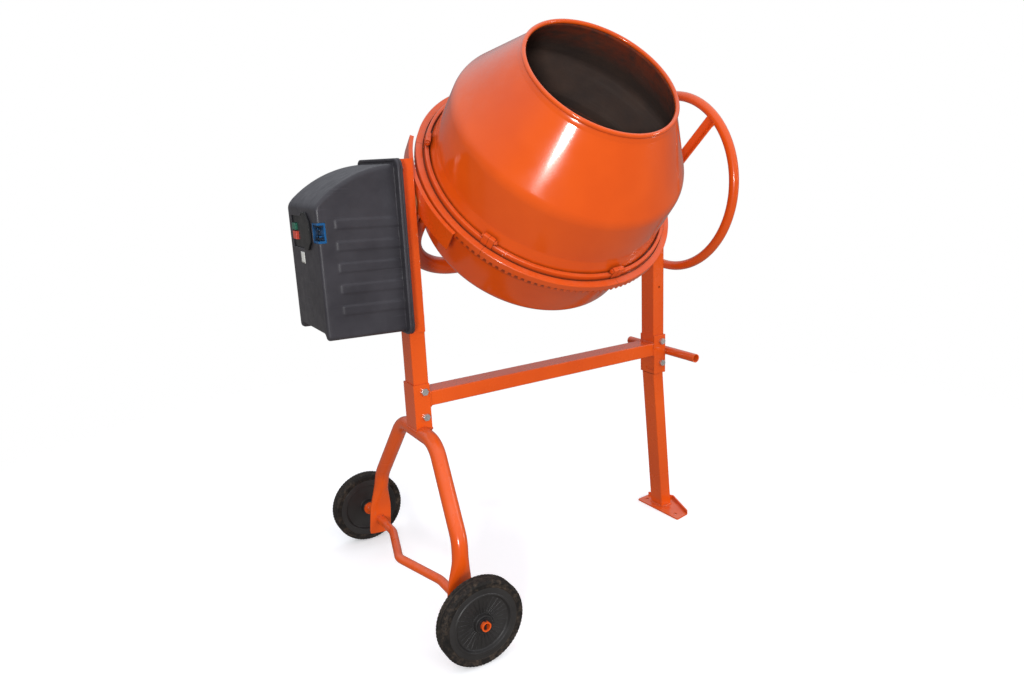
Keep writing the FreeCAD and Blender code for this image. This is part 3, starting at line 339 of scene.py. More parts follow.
def enamel(name, gloss=0.26, peel=0.00006, casting=False, chips=0.6, gap_shade=0.45, shade_band=None):
    """Glossy orange enamel with orange peel, dust on top faces, chipped edges and painted shade in its gaps.

    The last argument gives two heights on the drum in metres: a band of painted shade under the ring gear begins
    at the first and is at its darkest above the second."""
    s = Shader(name, coat=0.45, coat_rough=0.10)
    s.surface.inputs["Specular IOR Level"].default_value = 0.28
    tone = s.mix(s.level(s.noise(4.5, 3), 0.35, 0.68), ORANGE, ORANGE_DEEP)
    speck = s.level(s.noise(900.0, 2), 0.60, 0.72)
    tone = s.mix(s.math("MULTIPLY", speck, 0.10), tone, ORANGE_SPECK)
    edges = s.edge(0.0012)
    chipped = s.level(s.noise(260.0, 4, 0.7), 0.60, 0.66)
    rare = s.level(s.noise(21.0, 2), 0.52, 0.60)
    chip = s.math("MULTIPLY", s.math("MULTIPLY", edges, chipped), s.math("MULTIPLY", rare, chips))
    tone = s.mix(chip, tone, PRIMER)
    top = s.level(s.facing((0.0, 0.0, 1.0)), 0.35, 0.95)
    film = s.math("MULTIPLY", top, s.level(s.noise(38.0, 5, 0.65), 0.45, 0.75, 0.02, 0.16))
    # painted shade: corners and gaps found by ambient occlusion are darkened to a dark orange, more in some
    # patches than in others
    shade_patches = s.level(s.noise(70.0, 4), 0.3, 0.7, gap_shade ** 4, gap_shade)
    painted_shade = s.math("MULTIPLY", s.corner(0.010), shade_patches)
    tone = s.mix(film, tone, DUST)
    # painted shade: a dark band on the bowl just under the ring gear, so the slots between its teeth read dark
    if shade_band:
        ragged = s.level(s.noise(90.0, 4), 0.3, 0.7, -0.002, 0.002)
        height = s.math("ADD", along_drum(s)[1], ragged)
        painted_shade = s.math("MAXIMUM", painted_shade, s.level(height, *shade_band, 0.0, SHADE_BAND_COVER))
    s.colour(s.mix(painted_shade, tone, GAP_SHADE_ORANGE))
    # roughness rises with the dust and with the painted shade
    dust_and_shade = s.math("MAXIMUM", film, painted_shade)
    wave = s.level(s.noise(14.0, 3), 0.3, 0.7, gloss - 0.05, gloss + 0.07)
    s.roughness(s.math("ADD", wave, s.math("MULTIPLY", dust_and_shade, 0.5)))
    shape = s.round_edges(0.0010)
    if casting:
        rough = s.bump(s.noise(420.0, 5, 0.7), 0.00035, shape)
        shape = s.bump(s.noise(60.0, 3), 0.0006, rough)
    shape = s.bump(s.noise(330.0, 2, 0.4), peel, shape)
    s.normal(s.bump(chip, 0.00015, shape))
    return s.material


def drum_inside(name):
    """Dark primer in the drum: turning scratches, cement haze and overspray near the mouth."""
    s = Shader(name, rough=0.55)
    local, height = along_drum(s)
    swirl = s.noise(26.0, 5, 0.6, s.stretched((0.12, 0.12, 3.0), local))
    base = s.mix(s.level(s.noise(9.0, 4), 0.3, 0.7), PRIMER_BROWN, PRIMER_DARK)
    haze = s.math("MULTIPLY", s.level(swirl, 0.48, 0.72), s.level(s.noise(5.0, 2), 0.35, 0.65))
    tone = s.mix(s.math("MULTIPLY", haze, 0.22), base, CEMENT_HAZE)
    near_mouth = s.level(height, SPRAY_FROM, SPRAY_TO)
    overspray = s.math("MULTIPLY", near_mouth, s.level(s.noise(40.0, 5), 0.25, 0.6))
    s.colour(s.mix(s.math("MULTIPLY", overspray, 0.55), tone, ORANGE_DEEP))
    s.roughness(s.level(s.noise(30.0, 4), 0.3, 0.7, 0.42, 0.62))
    s.normal(s.bump(swirl, 0.0005, s.bump(s.noise(500.0, 3), 0.0001)))
    return s.material


def moulded(name, colour, rough, grain=0.00006, dust=0.10, edge=0.0012, hairlines=0.0):
    """Moulded plastic with a fine eroded grain, edges painted lighter as scuffs and as a painted highlight,
    settled dust and hairlines.
    """
    s = Shader(name, rough=rough)
    s.surface.inputs["Specular IOR Level"].default_value = 0.42
    lighter = tuple(min(1.0, c * 1.35 + 0.006) for c in colour)
    tone = s.mix(s.level(s.noise(11.0, 4), 0.35, 0.7), colour, lighter)
    # edges painted lighter: real scuffs, and where the edge is wide, as on the housing, a painted highlight line
    scuff_and_highlight = s.math("MULTIPLY", s.edge(edge), s.level(s.noise(130.0, 4), 0.45, 0.62, 0.0, 0.35))
    tone = s.mix(scuff_and_highlight, tone, tuple(min(1.0, c * 2.2 + 0.05) for c in colour))
    fleck = s.level(s.noise(240.0, 5, 0.75), 0.63, 0.72, 0.0, dust)
    top = s.level(s.facing((0.0, 0.0, 1.0)), 0.2, 0.95, 0.15, 1.0)
    s.roughness(s.level(s.noise(42.0, 4), 0.3, 0.7, rough - 0.07, rough + 0.08))
    if hairlines:
        fine = s.noise(150.0, 3, 0.6, s.stretched((0.05, 0.05, 2.4)))
        where = s.math("MULTIPLY", s.level(fine, 0.60, 0.70), s.level(s.noise(6.0, 3), 0.48, 0.62))
        tone = s.mix(s.math("MULTIPLY", where, hairlines), tone, tuple(c * 3.0 for c in colour))
    s.colour(s.mix(s.math("MULTIPLY", fleck, top), tone, DUST))
    skin = s.math("ADD", s.cells(GRAIN), s.noise(GRAIN * 0.7, 3))
    s.normal(s.bump(skin, grain, s.round_edges(edge)))
    return s.material


def socket_blue(name):
    """Blue inlet: a painted highlight on its rim, and painted shade falling off to near black down inside."""
    s = Shader(name, rough=0.34)
    # painted shade: ambient occlusion darkens the inlet's recess towards near black
    depth = s.node("AmbientOcclusion", Distance=0.022)
    depth.samples = 8
    shade = s.level(depth.outputs["AO"], 0.86, 0.46)
    tone = s.mix(shade, INLET_BLUE, INLET_SHADE)
    # painted highlight: the rim's edges are coloured a lighter blue
    s.colour(s.mix(s.edge(0.0010), tone, INLET_RIM_HIGHLIGHT))
    s.normal(s.bump(s.noise(700.0, 3), 0.00003, s.round_edges(0.0008)))
    return s.material


def tyre_rubber(name):
    """Solid black rubber with specks of tan dust, more of it in its grooves and on its edges."""
    s = Shader(name, rough=0.82)
    s.surface.inputs["Specular IOR Level"].default_value = 0.22
    base = s.mix(s.level(s.noise(24.0, 4), 0.3, 0.7), TYRE_BLACK, TYRE_GREY)
    specks = s.level(s.noise(85.0, 6, 0.75), 0.47, 0.66)
    low = s.math("MULTIPLY", s.corner(0.004), 0.45)
    worn = s.math("MULTIPLY", s.edge(0.0010), s.level(s.noise(60.0, 4), 0.35, 0.65, 0.0, 0.55))
    raised = s.math("MAXIMUM", s.math("MULTIPLY", specks, 0.34), worn)
    dusty = s.math("MULTIPLY", s.math("MAXIMUM", raised, low),
                   s.level(s.noise(8.0, 3), 0.25, 0.6, 0.35, 1.0))
    s.colour(s.mix(dusty, base, TYRE_DUST))
    s.roughness(s.level(dusty, 0.0, 1.0, 0.72, 0.95))
    s.normal(s.bump(s.noise(520.0, 5, 0.7), 0.00025, s.bump(s.noise(75.0, 4), 0.0004)))
    return s.material


def plated(name, colour, metal):
    """Zinc-plated metal with dull patches, darker in the corners that ambient occlusion finds, and softly rounded
    edges.
    """
    s = Shader(name, metal=metal)
    dull = tuple(c * 0.62 for c in colour)
    tone = s.mix(s.level(s.noise(160.0, 4, 0.6), 0.35, 0.70), colour, dull)
    # darkened towards a dark brown where ambient occlusion finds corners
    corner_darkening = s.math("MULTIPLY", s.corner(0.006), s.level(s.noise(190.0, 4), 0.35, 0.65, 0.2, 0.9))
    s.colour(s.mix(corner_darkening, tone, CORNER_DARK))
    s.roughness(s.level(s.noise(272.0, 4), 0.3, 0.7, 0.22, 0.44))
    s.normal(s.bump(s.noise(800.0, 3), 0.00004, s.round_edges(0.0006)))
    return s.material


def turned_metal(name, colour, rough=0.32):
    """Machined or die-cast metal with fine tool marks along x."""
    s = Shader(name, rough=rough, metal=1.0)
    marks = s.noise(900.0, 3, 0.6, s.stretched((1.0, 0.06, 0.06)))
    s.colour(s.mix(s.level(marks, 0.35, 0.7), colour, tuple(c * 0.7 for c in colour)))
    s.roughness(s.level(s.noise(60.0, 4), 0.3, 0.7, rough - 0.08, rough + 0.12))
    s.normal(s.bump(marks, 0.00005, s.round_edges(0.0006)))
    return s.material


materials = {
    "orange_tube": enamel("enamel_frame"),
    "orange_drum": enamel("enamel_drum", gloss=0.17, peel=0.00005, chips=0.3),
    # the bowl's band of painted shade lies just under the ring gear
    "orange_bowl": enamel("enamel_bowl", gloss=0.17, peel=0.00005, chips=0.3,
                          shade_band=(-0.017, -0.008)),
    # the ring casting takes the strongest painted shade in its gaps
    "orange_casting": enamel("enamel_casting", gloss=0.34, peel=0.0001, casting=True, gap_shade=0.95),
    "dark_primer": drum_inside("primer_inside"),
    # the housing's wide edge makes a painted highlight line along its rounded edges
    "housing": moulded("housing_plastic", (0.030, 0.028, 0.034), rough=0.40, edge=0.0030,
                       hairlines=0.5),
    "black_plastic": moulded("black_plastic", (0.010, 0.010, 0.011), rough=0.38, dust=0.04),
    "wheel_plastic": moulded("wheel_plastic", (0.018, 0.0165, 0.016), rough=0.42, dust=0.4),
    "tyre": tyre_rubber("tyre_rubber"),
    "rubber": moulded("belt_rubber", (0.012, 0.012, 0.012), rough=0.75, dust=0.2),
    "green": moulded("green_cap", (0.008, 0.105, 0.062), rough=0.30, grain=0.00002, dust=0.05),
    "red": moulded("red_cap", (0.50, 0.050, 0.028), rough=0.30, grain=0.00002, dust=0.05),
    "blue": socket_blue("blue_inlet"),
    "zinc": plated("zinc_plate", (0.82, 0.81, 0.78), metal=0.8),
    "steel": turned_metal("machined_steel", (0.50, 0.50, 0.51)),
    "bronze": turned_metal("sintered_bronze", (0.50, 0.33, 0.15), rough=0.42),
    "aluminium": turned_metal("cast_aluminium", (0.60, 0.60, 0.61), rough=0.45),
    "cast": turned_metal("cast_iron", (0.20, 0.20, 0.20), rough=0.50),
    "label": moulded("label_film", (0.62, 0.62, 0.58), rough=0.35, grain=0.00001, dust=0.05),
}

# Small parts that were sprayed or blackened after they were fitted; the split pins are black as painted shade in
# the hollow axle ends.
PAINTED_OVER = {"ring_bolts": "orange_casting", "split_pins": "black_plastic",
                "wheel_washers": "black_plastic", "housing_screws": "orange_casting"}


def dress_cad():
    """Every CAD node that stays gets the material of its record slot, or the later coat."""
    for part in frame["record"]["subparts"]:
        name = part["node"]
        node = frame["nodes"][name]
        node.data.materials.clear()
        node.data.materials.append(materials[PAINTED_OVER.get(name, part["material_slot"])])


# ------------------------------------------------------------------ mesh helpers
def soft_step(value, low, high):
    """0 below low, 1 above high, and a smooth curve between them."""
    share = min(1.0, max(0.0, (value - low) / (high - low)))
    return share * share * (3 - 2 * share)


def new_piece(name, mesh, body, material, smooth_angle=40.0):
    """Adds a finished mesh as a piece that rides on a CAD body."""
    piece = bpy.data.objects.new(name, mesh)
    bpy.context.scene.collection.objects.link(piece)
    for each in material if isinstance(material, (list, tuple)) else (material,):
        mesh.materials.append(materials[each])
    if smooth_angle:
        bpy.context.view_layer.objects.active = piece
        mesh.shade_smooth()
        mesh.set_sharp_from_angle(angle=math.radians(smooth_angle))
    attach(piece, body)
    return piece


def grid_mesh(name, rows, closed_across=False, closed_along=False, slots=None):
    """A mesh through rows of points; slots gives each row step a material number."""
    points = [p for row in rows for p in row]
    width, count = len(rows[0]), len(rows)
    faces, numbers = [], []
    for i in range(count if closed_along else count - 1):
        for j in range(width if closed_across else width - 1):
            below, beside = (i + 1) % count, (j + 1) % width
            faces.append((i * width + j, i * width + beside,
                          below * width + beside, below * width + j))
            numbers.append(slots[j] if slots else 0)
    mesh = bpy.data.meshes.new(name)
    mesh.from_pydata(points, [], faces)
    mesh.polygons.foreach_set("material_index", numbers)
    return mesh


def edit(mesh):
    """An editable copy of a mesh."""
    work = bmesh.new()
    work.from_mesh(mesh)
    return work


def close_edit(work, mesh):
    """Turns all faces of the edited copy outwards and puts it back in the mesh."""
    bmesh.ops.recalc_face_normals(work, faces=work.faces)
    work.to_mesh(mesh)
    work.free()


def fit_cube(verts, low, high):
    """Stretches a unit cube between two corners given in machine millimetres."""
    a, b = at(*low), at(*high)
    for v in verts:
        v.co = Vector((a[k] + (b[k] - a[k]) * (v.co[k] + 0.5) for k in range(3)))


def turned_mesh(name, profile, place, steps, slots=None, shape=None):
    """A closed (radius, height) profile turned round z of place; shape may bend its points."""
    rows = []
    for k in range(steps):
        angle = 2 * math.pi * k / steps
        row = []
        for r, h in profile:
            if shape:
                r, h = shape(r, h, angle)
            row.append(place @ (Vector((r * math.cos(angle), r * math.sin(angle), h)) * MM))
        rows.append(row)
    mesh = grid_mesh(name, rows, closed_across=True, closed_along=True, slots=slots)
    close_edit(edit(mesh), mesh)
    return mesh


def rounded(points, radii, step, closed=True):
    """The corners of a 2-D outline turned into arcs whose steps are about this long."""
    made = []
    count = len(points)
    for k, radius in enumerate(radii):
        here = Vector(points[k])
        if radius <= 0 or (not closed and k in (0, count - 1)):
            made.append(tuple(here))
            continue
        back = (Vector(points[k - 1]) - here).normalized()
        ahead = (Vector(points[(k + 1) % count]) - here).normalized()
        half = (math.pi - back.angle(ahead)) / 2
        reach = radius * math.tan(half)
        middle = here + (back + ahead).normalized() * (radius / math.cos(half))
        first, last = here + back * reach - middle, here + ahead * reach - middle
        turns = max(2, math.ceil(2 * half * radius / step), math.ceil(math.degrees(2 * half) / 12))
        begin = math.atan2(first.y, first.x)
        sweep = (math.atan2(last.y, last.x) - begin + math.pi) % (2 * math.pi) - math.pi
        for t in range(turns + 1):
            angle = begin + sweep * t / turns
            made.append(tuple(middle + Vector((math.cos(angle), math.sin(angle))) * radius))
    return made


RIPPLE, BEAD_SIDES = 2.2, 8     # length of a weld bead's ripple, and points round the bead
CIRCLE_POINTS = 26


def bead(name, body, points, radius, seed, closed=False):
    """A weld bead: overlapping ripples laid along a path given in machine millimetres."""
    draw = random.Random(seed)
    path = [Vector(p) for p in points]
    if closed:
        path.append(path[0])
    samples = []
    for a, b in zip(path, path[1:]):
        steps = max(1, round((b - a).length / RIPPLE))
        samples += [a.lerp(b, t / steps) for t in range(steps)]
    if not closed:
        samples.append(path[-1])
    rows = []
    count = len(samples)
    for k, here in enumerate(samples):
        before = samples[k - 1] if closed or k else here
        after = samples[(k + 1) % count] if closed or k < count - 1 else here
        along = (after - before).normalized()
        side = along.orthogonal().normalized()
        other = along.cross(side)
        size = radius * (1.0 + 0.16 * math.sin(k * 2.4) + draw.uniform(-0.10, 0.10))
        if not closed:
            size *= min(1.0, 0.35 + 0.4 * min(k, count - 1 - k))
        shift = side * draw.uniform(-0.2, 0.2) + other * draw.uniform(-0.2, 0.2)
        centre = here + shift
        rows.append([at(*(centre + side * (size * math.cos(a)) + other * (size * math.sin(a))))
                     for a in (2 * math.pi * t / BEAD_SIDES for t in range(BEAD_SIDES))])
    mesh = grid_mesh(name, rows, closed_across=True, closed_along=closed)
    if not closed:
        capped = edit(mesh)
        bmesh.ops.holes_fill(capped, edges=capped.edges, sides=BEAD_SIDES)
        close_edit(capped, mesh)
    new_piece(name, mesh, body, "orange_tube", 80.0)


def circle_about_y(centre, radius):
    """Points of a circle round a line along y, in machine millimetres."""
    side = Y.orthogonal().normalized()
    other = Y.cross(side)
    points = []
    for k in range(CIRCLE_POINTS):
        angle = 2 * math.pi * k / CIRCLE_POINTS
        points.append(Vector(centre) + (side * math.cos(angle) + other * math.sin(angle)) * radius)
    return points


# ------------------------------------------------------------------ drum
SHEET = 2.5
ROLL_R, ROLL_H, ROLL_THICK = 182.3, 364.0, 5.1      # the rim rolled over a wire at the mouth
DARK_ROLL_POINTS = 5                 # points at the inner end of the rolled rim drawn in the inside's dark material
DENT, DENT_WAVE = 0.22, 0.14    # depth of the hand-straightened cone's waves
DENT_LOW, DENT_HIGH, DENT_FADE = 90.0, 352.0, 60.0
BOWL_R, BOWL_TOP, BOWL_FLOOR = 300.5, 62.0, -128.0
CENTRE_R = 0.5                  # the bowl's floor stops short of its axis


def drum_upper():
    """Spun upper shell: skirt, swelling side, long cone, and the rolled mouth."""
    outside = [(303.0, 36.7), (303.0, 66.0), (296.5, 92.0), (291.5, 208.0), (190.2, 349.5),
               (187.0, 357.0)]
    inside = [(r - SHEET, h) for r, h in outside[:3]] + [(289.0, 207.0), (186.5, 349.5),
                                                        (182.0, 355.0)]
    radii = (0, 12, 30, 55, 10, 0)
    skin = rounded(outside, radii, 6.0, closed=False)
    lining = rounded(inside, radii, 6.0, closed=False)
    roll = [(ROLL_R + ROLL_THICK * math.cos(a), ROLL_H + ROLL_THICK * math.sin(a))
            for a in (math.radians(d) for d in range(-60, 271, 15))]
    profile = skin + roll + lining[::-1]
    # the rolled rim's last points on its inner side take the inside's dark material
    painted = len(skin) + len(roll) - DARK_ROLL_POINTS
    slots = [0] * painted + [1] * (len(profile) - painted)
    slots[-1] = 0               # the skirt's cut edge, from the lining back to the skin

    def dented(r, h, angle):
        """Hand-straightened sheet: long shallow waves, strongest on the cone."""
        above = min(1.0, max(0.0, (h - DENT_LOW) / DENT_FADE))
        share = above * min(1.0, max(0.0, (DENT_HIGH - h) / DENT_FADE))
        wave = math.sin(3 * angle + 0.013 * h) + 0.6 * math.sin(7 * angle - 0.021 * h + 1.3)
        return r - share * (DENT + DENT_WAVE * wave), h

    mesh = turned_mesh("drum_upper", profile, DRUM, 256, slots, dented)
    piece = new_piece("upper_drum_shell", mesh, "drum", ("orange_drum", "dark_primer"), 50.0)
    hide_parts("drum_upper_shell")


def drum_lower():
    """Deep-drawn lower bowl: flat floor, round corner, tapered side and straight rim."""
    outside = [(CENTRE_R, BOWL_FLOOR), (200.0, BOWL_FLOOR), (283.0, BOWL_FLOOR), (287.6, -85.0),
               (BOWL_R, 26.0), (BOWL_R, BOWL_TOP)]
    radii = (0, 0, 26, 0, 10, 0)
    skin = rounded(outside, radii, 4.0, closed=False)
    lining = [(max(r - SHEET, CENTRE_R), max(h, BOWL_FLOOR + SHEET)) for r, h in skin]
    lining[-1] = (BOWL_R - SHEET, BOWL_TOP)
    profile = skin + lining[::-1]
    slots = [0] * len(skin) + [1] * len(lining)
    slots[-1] = 0               # the last step closes the profile at the bowl's centre
    mesh = turned_mesh("drum_lower", profile, DRUM, 224, slots)
    piece = new_piece("lower_drum_shell", mesh, "drum", ("orange_bowl", "dark_primer"), 40.0)
    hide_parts("drum_lower_shell")


# ------------------------------------------------------------------ wheels
WHEEL_R, WHEEL_HALF = 99.7, 18.8
TREAD_BLOCKS = 72
TREAD_FROM = 93.5               # radius where the tread's grooves may begin
CENTRE_GROOVE, SIDE_GROOVE, GROOVE_DEEP = 1.2, (9.0, 11.0), 1.0
SHOULDER, SLOT_DEEP, SLOT_HALF, SLOT_SLOPE = 4.5, 0.8, 0.20, 0.08   # slots in shares of a block
BORE = 11.15
WEB_RIBS, RIB_FOOT, RIB_TIP = 30, 0.8, 0.4              # how many, and their half widths
RIB_ENDS = ((21.5, 7.0, 11.4), (62.0, 7.0, 11.0))       # radius, foot and top of a rib's ends


def tyre(end, place):
    """Solid tyre: three grooves round it, staggered shoulder slots, a ridge on each flank."""
    half = WHEEL_HALF
    side = [(82.1, 16.0), (83.2, half - 1.9), (91.0, half - 1.3), (93.0, half - 0.4),
            (94.2, half - 0.4), (95.2, half - 1.4), (98.2, half - 2.8), (WHEEL_R, half - 6.0)]
    flank = rounded(side, (0, 0.8, 1.5, 0.5, 0.5, 0.5, 2, 0), 1.0, closed=False)
    half_outline = flank + [(WHEEL_R, h) for h in (11.6, 10.8, 9.2, 8.4, 5.4, 3.8, 2.4, 1.6, 0.8)]
    outline = half_outline + [(r, -h) for r, h in half_outline[::-1]]

    def cut(r, h, angle):
        """Lowers the grooves and the slots between the shoulder blocks."""
        if r < TREAD_FROM:
            return r, h
        grooved = abs(h) < CENTRE_GROOVE or SIDE_GROOVE[0] < abs(h) < SIDE_GROOVE[1]
        depth = GROOVE_DEEP if grooved else 0.0
        turn = (angle * TREAD_BLOCKS / (2 * math.pi) + (0.5 if h > 0 else 0.0)) % 1.0
        if abs(h) > SHOULDER:
            inside = min(1.0, max(0.0, (SLOT_HALF - abs(turn - 0.5)) / SLOT_SLOPE))
            depth = max(depth, SLOT_DEEP * inside)
        return r - depth, h

    name = end + "_solid_tyre"
    mesh = turned_mesh(name, outline, place, TREAD_BLOCKS * 8, shape=cut)
    piece = new_piece(name, mesh, end + "_wheel", "tyre", 32.0)
    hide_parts(end + "_tyre")


def wheel_disc(end, place):
    """Moulded disc: hub collar, dished web with fine radial ribs, raised ring and rim seat."""
    half = WHEEL_HALF
    corners = [(BORE, -half), (19, -half), (20.5, -5), (64, -5), (67, -16.5), (82, -16.8),
               (82, 16.8), (70.5, 16.6), (69, 18.4), (66, 18.4), (62.5, 10.5), (30, 8.5), (22, 9),
               (20.5, half), (13.5, half), (BORE, half - 2.0)]
    radii = (0, 1, 2, 3, 2, 0.6, 0.6, 1, 1.3, 1.3, 4, 8, 2, 1.2, 1, 0)
    profile = rounded(corners, radii, 1.2)
    name = end + "_moulded_disc"
    mesh = turned_mesh(name, profile, place, 144)
    work = edit(mesh)
    for k in range(WEB_RIBS):
        turn = Matrix.Rotation(2 * math.pi * k / WEB_RIBS, 3, "Z")
        ends = []
        for r, low, high in RIB_ENDS:
            section = ((-RIB_FOOT, low), (-RIB_TIP, high), (RIB_TIP, high), (RIB_FOOT, low))
            ends.append([work.verts.new(place @ (turn @ Vector((r, y, z)) * MM))
                         for y, z in section])
        for t in range(4):
            work.faces.new((ends[0][t], ends[0][(t + 1) % 4], ends[1][(t + 1) % 4], ends[1][t]))
        work.faces.new(ends[0][::-1])
        work.faces.new(ends[1])
    close_edit(work, mesh)
    piece = new_piece(name, mesh, end + "_wheel", "wheel_plastic", 35.0)
    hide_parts(end + "_wheel_disc")


def make_wheels():
    """Both wheels, each with its outer face away from the machine's middle."""
    for end, side in (("front", -1), ("rear", 1)):
        hub = Vector(joints[end + "_wheel_spin"]["pos_m"])
        place = frame_matrix(X, Z * -side, Y * side, hub)
        tyre(end, place)
        wheel_disc(end, place)


# ------------------------------------------------------------------ wheel stand
STAND_PATH = ((-241, -366), (-241, -240), (-232, -189), (-95, 0), (95, 0), (232, -189),
              (241, -240), (241, -366))
STAND_BENDS = (0, 60, 90, 75, 75, 90, 60, 0)
TUBE_R, TUBE_POINTS = 19.0, 32
PRESSED_WIDE, PRESSED_THICK, SQUARENESS = 30.0, 4.0, 0.55
PRESS_START, PRESS_END = -222.0, -304.0
BEND_STEP, TUBE_STEP, END_SHRINK = 7.0, 8.0, 0.93
STAND_LEAN = math.radians(5.95)
STAND_X, STAND_Z = -6.0, 424.0          # where the leaning path's own zero sits
SADDLE = (-19.5, -26.5, 426.0), (19.5, 26.5, 436.0)


def tube_section(press):
    """Points round the tube's section, from round (0) to pressed flat (1)."""
    wide = TUBE_R + (PRESSED_WIDE - TUBE_R) * press
    thick = TUBE_R + (PRESSED_THICK - TUBE_R) * press
    points = []
    power = 1.0 - SQUARENESS * press
    for k in range(TUBE_POINTS):
        angle = 2 * math.pi * (k + 0.5) / TUBE_POINTS
        across, through = math.cos(angle), math.sin(angle)
        points.append((math.copysign(abs(across) ** power, across) * wide,
                       math.copysign(abs(through) ** power, through) * thick))
    return points


def wheel_stand():
    """The bent tube whose ends flow into flats that carry the axle, with its saddle."""
    path = [Vector(p) for p in rounded(STAND_PATH, STAND_BENDS, BEND_STEP, closed=False)]
    fine = []
    for a, b in zip(path, path[1:]):
        steps = max(1, math.ceil((b - a).length / TUBE_STEP))
        fine += [a.lerp(b, t / steps) for t in range(steps)]
    fine.append(path[-1])
    lean = Matrix.Rotation(STAND_LEAN, 3, "Y")
    rows = []
    for k, here in enumerate(fine):
        along = (fine[min(k + 1, len(fine) - 1)] - fine[max(k - 1, 0)]).normalized()
        normal = Vector((-along.y, along.x))
        press = soft_step(-here.y, -PRESS_START, -PRESS_END)
        shrink = END_SHRINK if k in (0, len(fine) - 1) else 1.0
        row = []
        for across, through in tube_section(press):
            flat = here + normal * through * shrink
            local = lean @ Vector((across * shrink, flat.x, flat.y))
            row.append(at(local.x + STAND_X, local.y, local.z + STAND_Z))
        rows.append(row)
    mesh = grid_mesh("stand_tube", rows, closed_across=True)
    work = edit(mesh)
    bmesh.ops.holes_fill(work, edges=work.edges, sides=TUBE_POINTS)
    fit_cube(bmesh.ops.create_cube(work, size=1.0)["verts"], *SADDLE)
    close_edit(work, mesh)
    piece = new_piece("stand_tube", mesh, "frame", "orange_tube", 50.0)
    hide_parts("wheel_stand")


# ------------------------------------------------------------------ motor housing
HOUSE_END = -217.0                      # x of the end face
HOUSE_Y0, HOUSE_Y1 = -43.0, 174.0       # the side walls
HOUSE_ROUND, END_ROUND, HOUSE_WALL = 10.0, 7.0, 2.6
LOW_AT, LOW_Z, LOW_RISE = -34.0, 686.5, 0.03    # the underside rises towards the end face
CROWN = ((-28.0, 1065.0), (-128.0, 1044.0), (-205.0, 996.0))
NOSE_Z = 983.0
RIM_Y, RIM_Z, RIM_ROUND = (-71.0, 182.0), (682.0, 1076.0), 22.0
RIM_STEPS = ((-28.2, 0.6), (-28.8, 0.0), (-33.6, 0.0), (-34.6, 0.4), (-35.2, 1.3),
             (-35.4, 2.6), (-35.2, 5.0), (-34.4, 6.6), (-33.0, 7.4))    # x and inset
FILLET_STEPS, FILLET_Z = ((-32.4, 3.0), (-32.2, 1.4)), 690.6            # x and offset
BODY_FRONT, BODY_FROM, BODY_STEP, BODY_STEPS = -32.6, -36.0, 2.6, 66
END_STEPS, LEAST_ROUND = 9, 3.0
RIBS, RIB_TOP, RIB_END = 5, 944.0, -180.0
RIB_PITCH, RIB_HALF, RIB_PROUD, RIB_SLOPE = 47.0, 11.0, 2.0, 0.03
ARCH_LIFT, ARCH_X = 12.0, (-192.0, -182.0)      # the underside is raised near the end face
ARCH_Y = (-30.0, -20.0, 147.0, 157.0)           # its two flanks
# The openings for the switch and the inlet: two corners, and the rounding of their edges.
SWITCH_CUT = (-230.0, 62.0, 888.0), (-204.0, 150.0, 960.0), 4.0
INLET_CUT = (-230.0, -60.0, 906.0), (-198.0, -6.0, 950.0), 2.0
LABEL_Y, LABEL_Z, LABEL_WIDE, LABEL_HIGH, LABEL_THICK = 85.0, 867.0, 30.0, 26.0, 0.3
LABEL_PROUD, LABEL_CURL, LABEL_ACROSS, LABEL_UP = 0.1, 1.1, 6, 8


def roof(x):
    """Height of the arched top: a circle through the crown points, then a slope to the nose."""
    (x0, z0), (x1, z1), (x2, z2) = CROWN
    if x < x2:
        return z2 + (NOSE_Z - z2) * (x2 - x) / (x2 - HOUSE_END)
    a, b = 2 * (x1 - x0), 2 * (z1 - z0)
    c, d = 2 * (x2 - x0), 2 * (z2 - z0)
    first = x1 * x1 - x0 * x0 + z1 * z1 - z0 * z0
    second = x2 * x2 - x0 * x0 + z2 * z2 - z0 * z0
    share = a * d - b * c
    middle_x = (first * d - b * second) / share
    middle_z = (a * second - first * c) / share
    radius = math.hypot(x0 - middle_x, z0 - middle_z)
    return middle_z + math.sqrt(radius * radius - (x - middle_x) ** 2)


def underside(x):
    """Height of the housing's underside."""
    return LOW_Z + (LOW_AT - x) * LOW_RISE


def rib_height(x, z):
    """How far the moulded ribs stand out of the side wall."""
    highest = 0.0
    for k in range(RIBS):
        middle = RIB_TOP - RIB_PITCH * k - RIB_SLOPE * (x - RIB_END)
        across = 1.0 - soft_step(abs(z - middle), RIB_HALF - 2.5, RIB_HALF + 0.5)
        left = soft_step(x, RIB_END, RIB_END + 7.0)
        highest = max(highest, across * left)
    return RIB_PROUD * highest


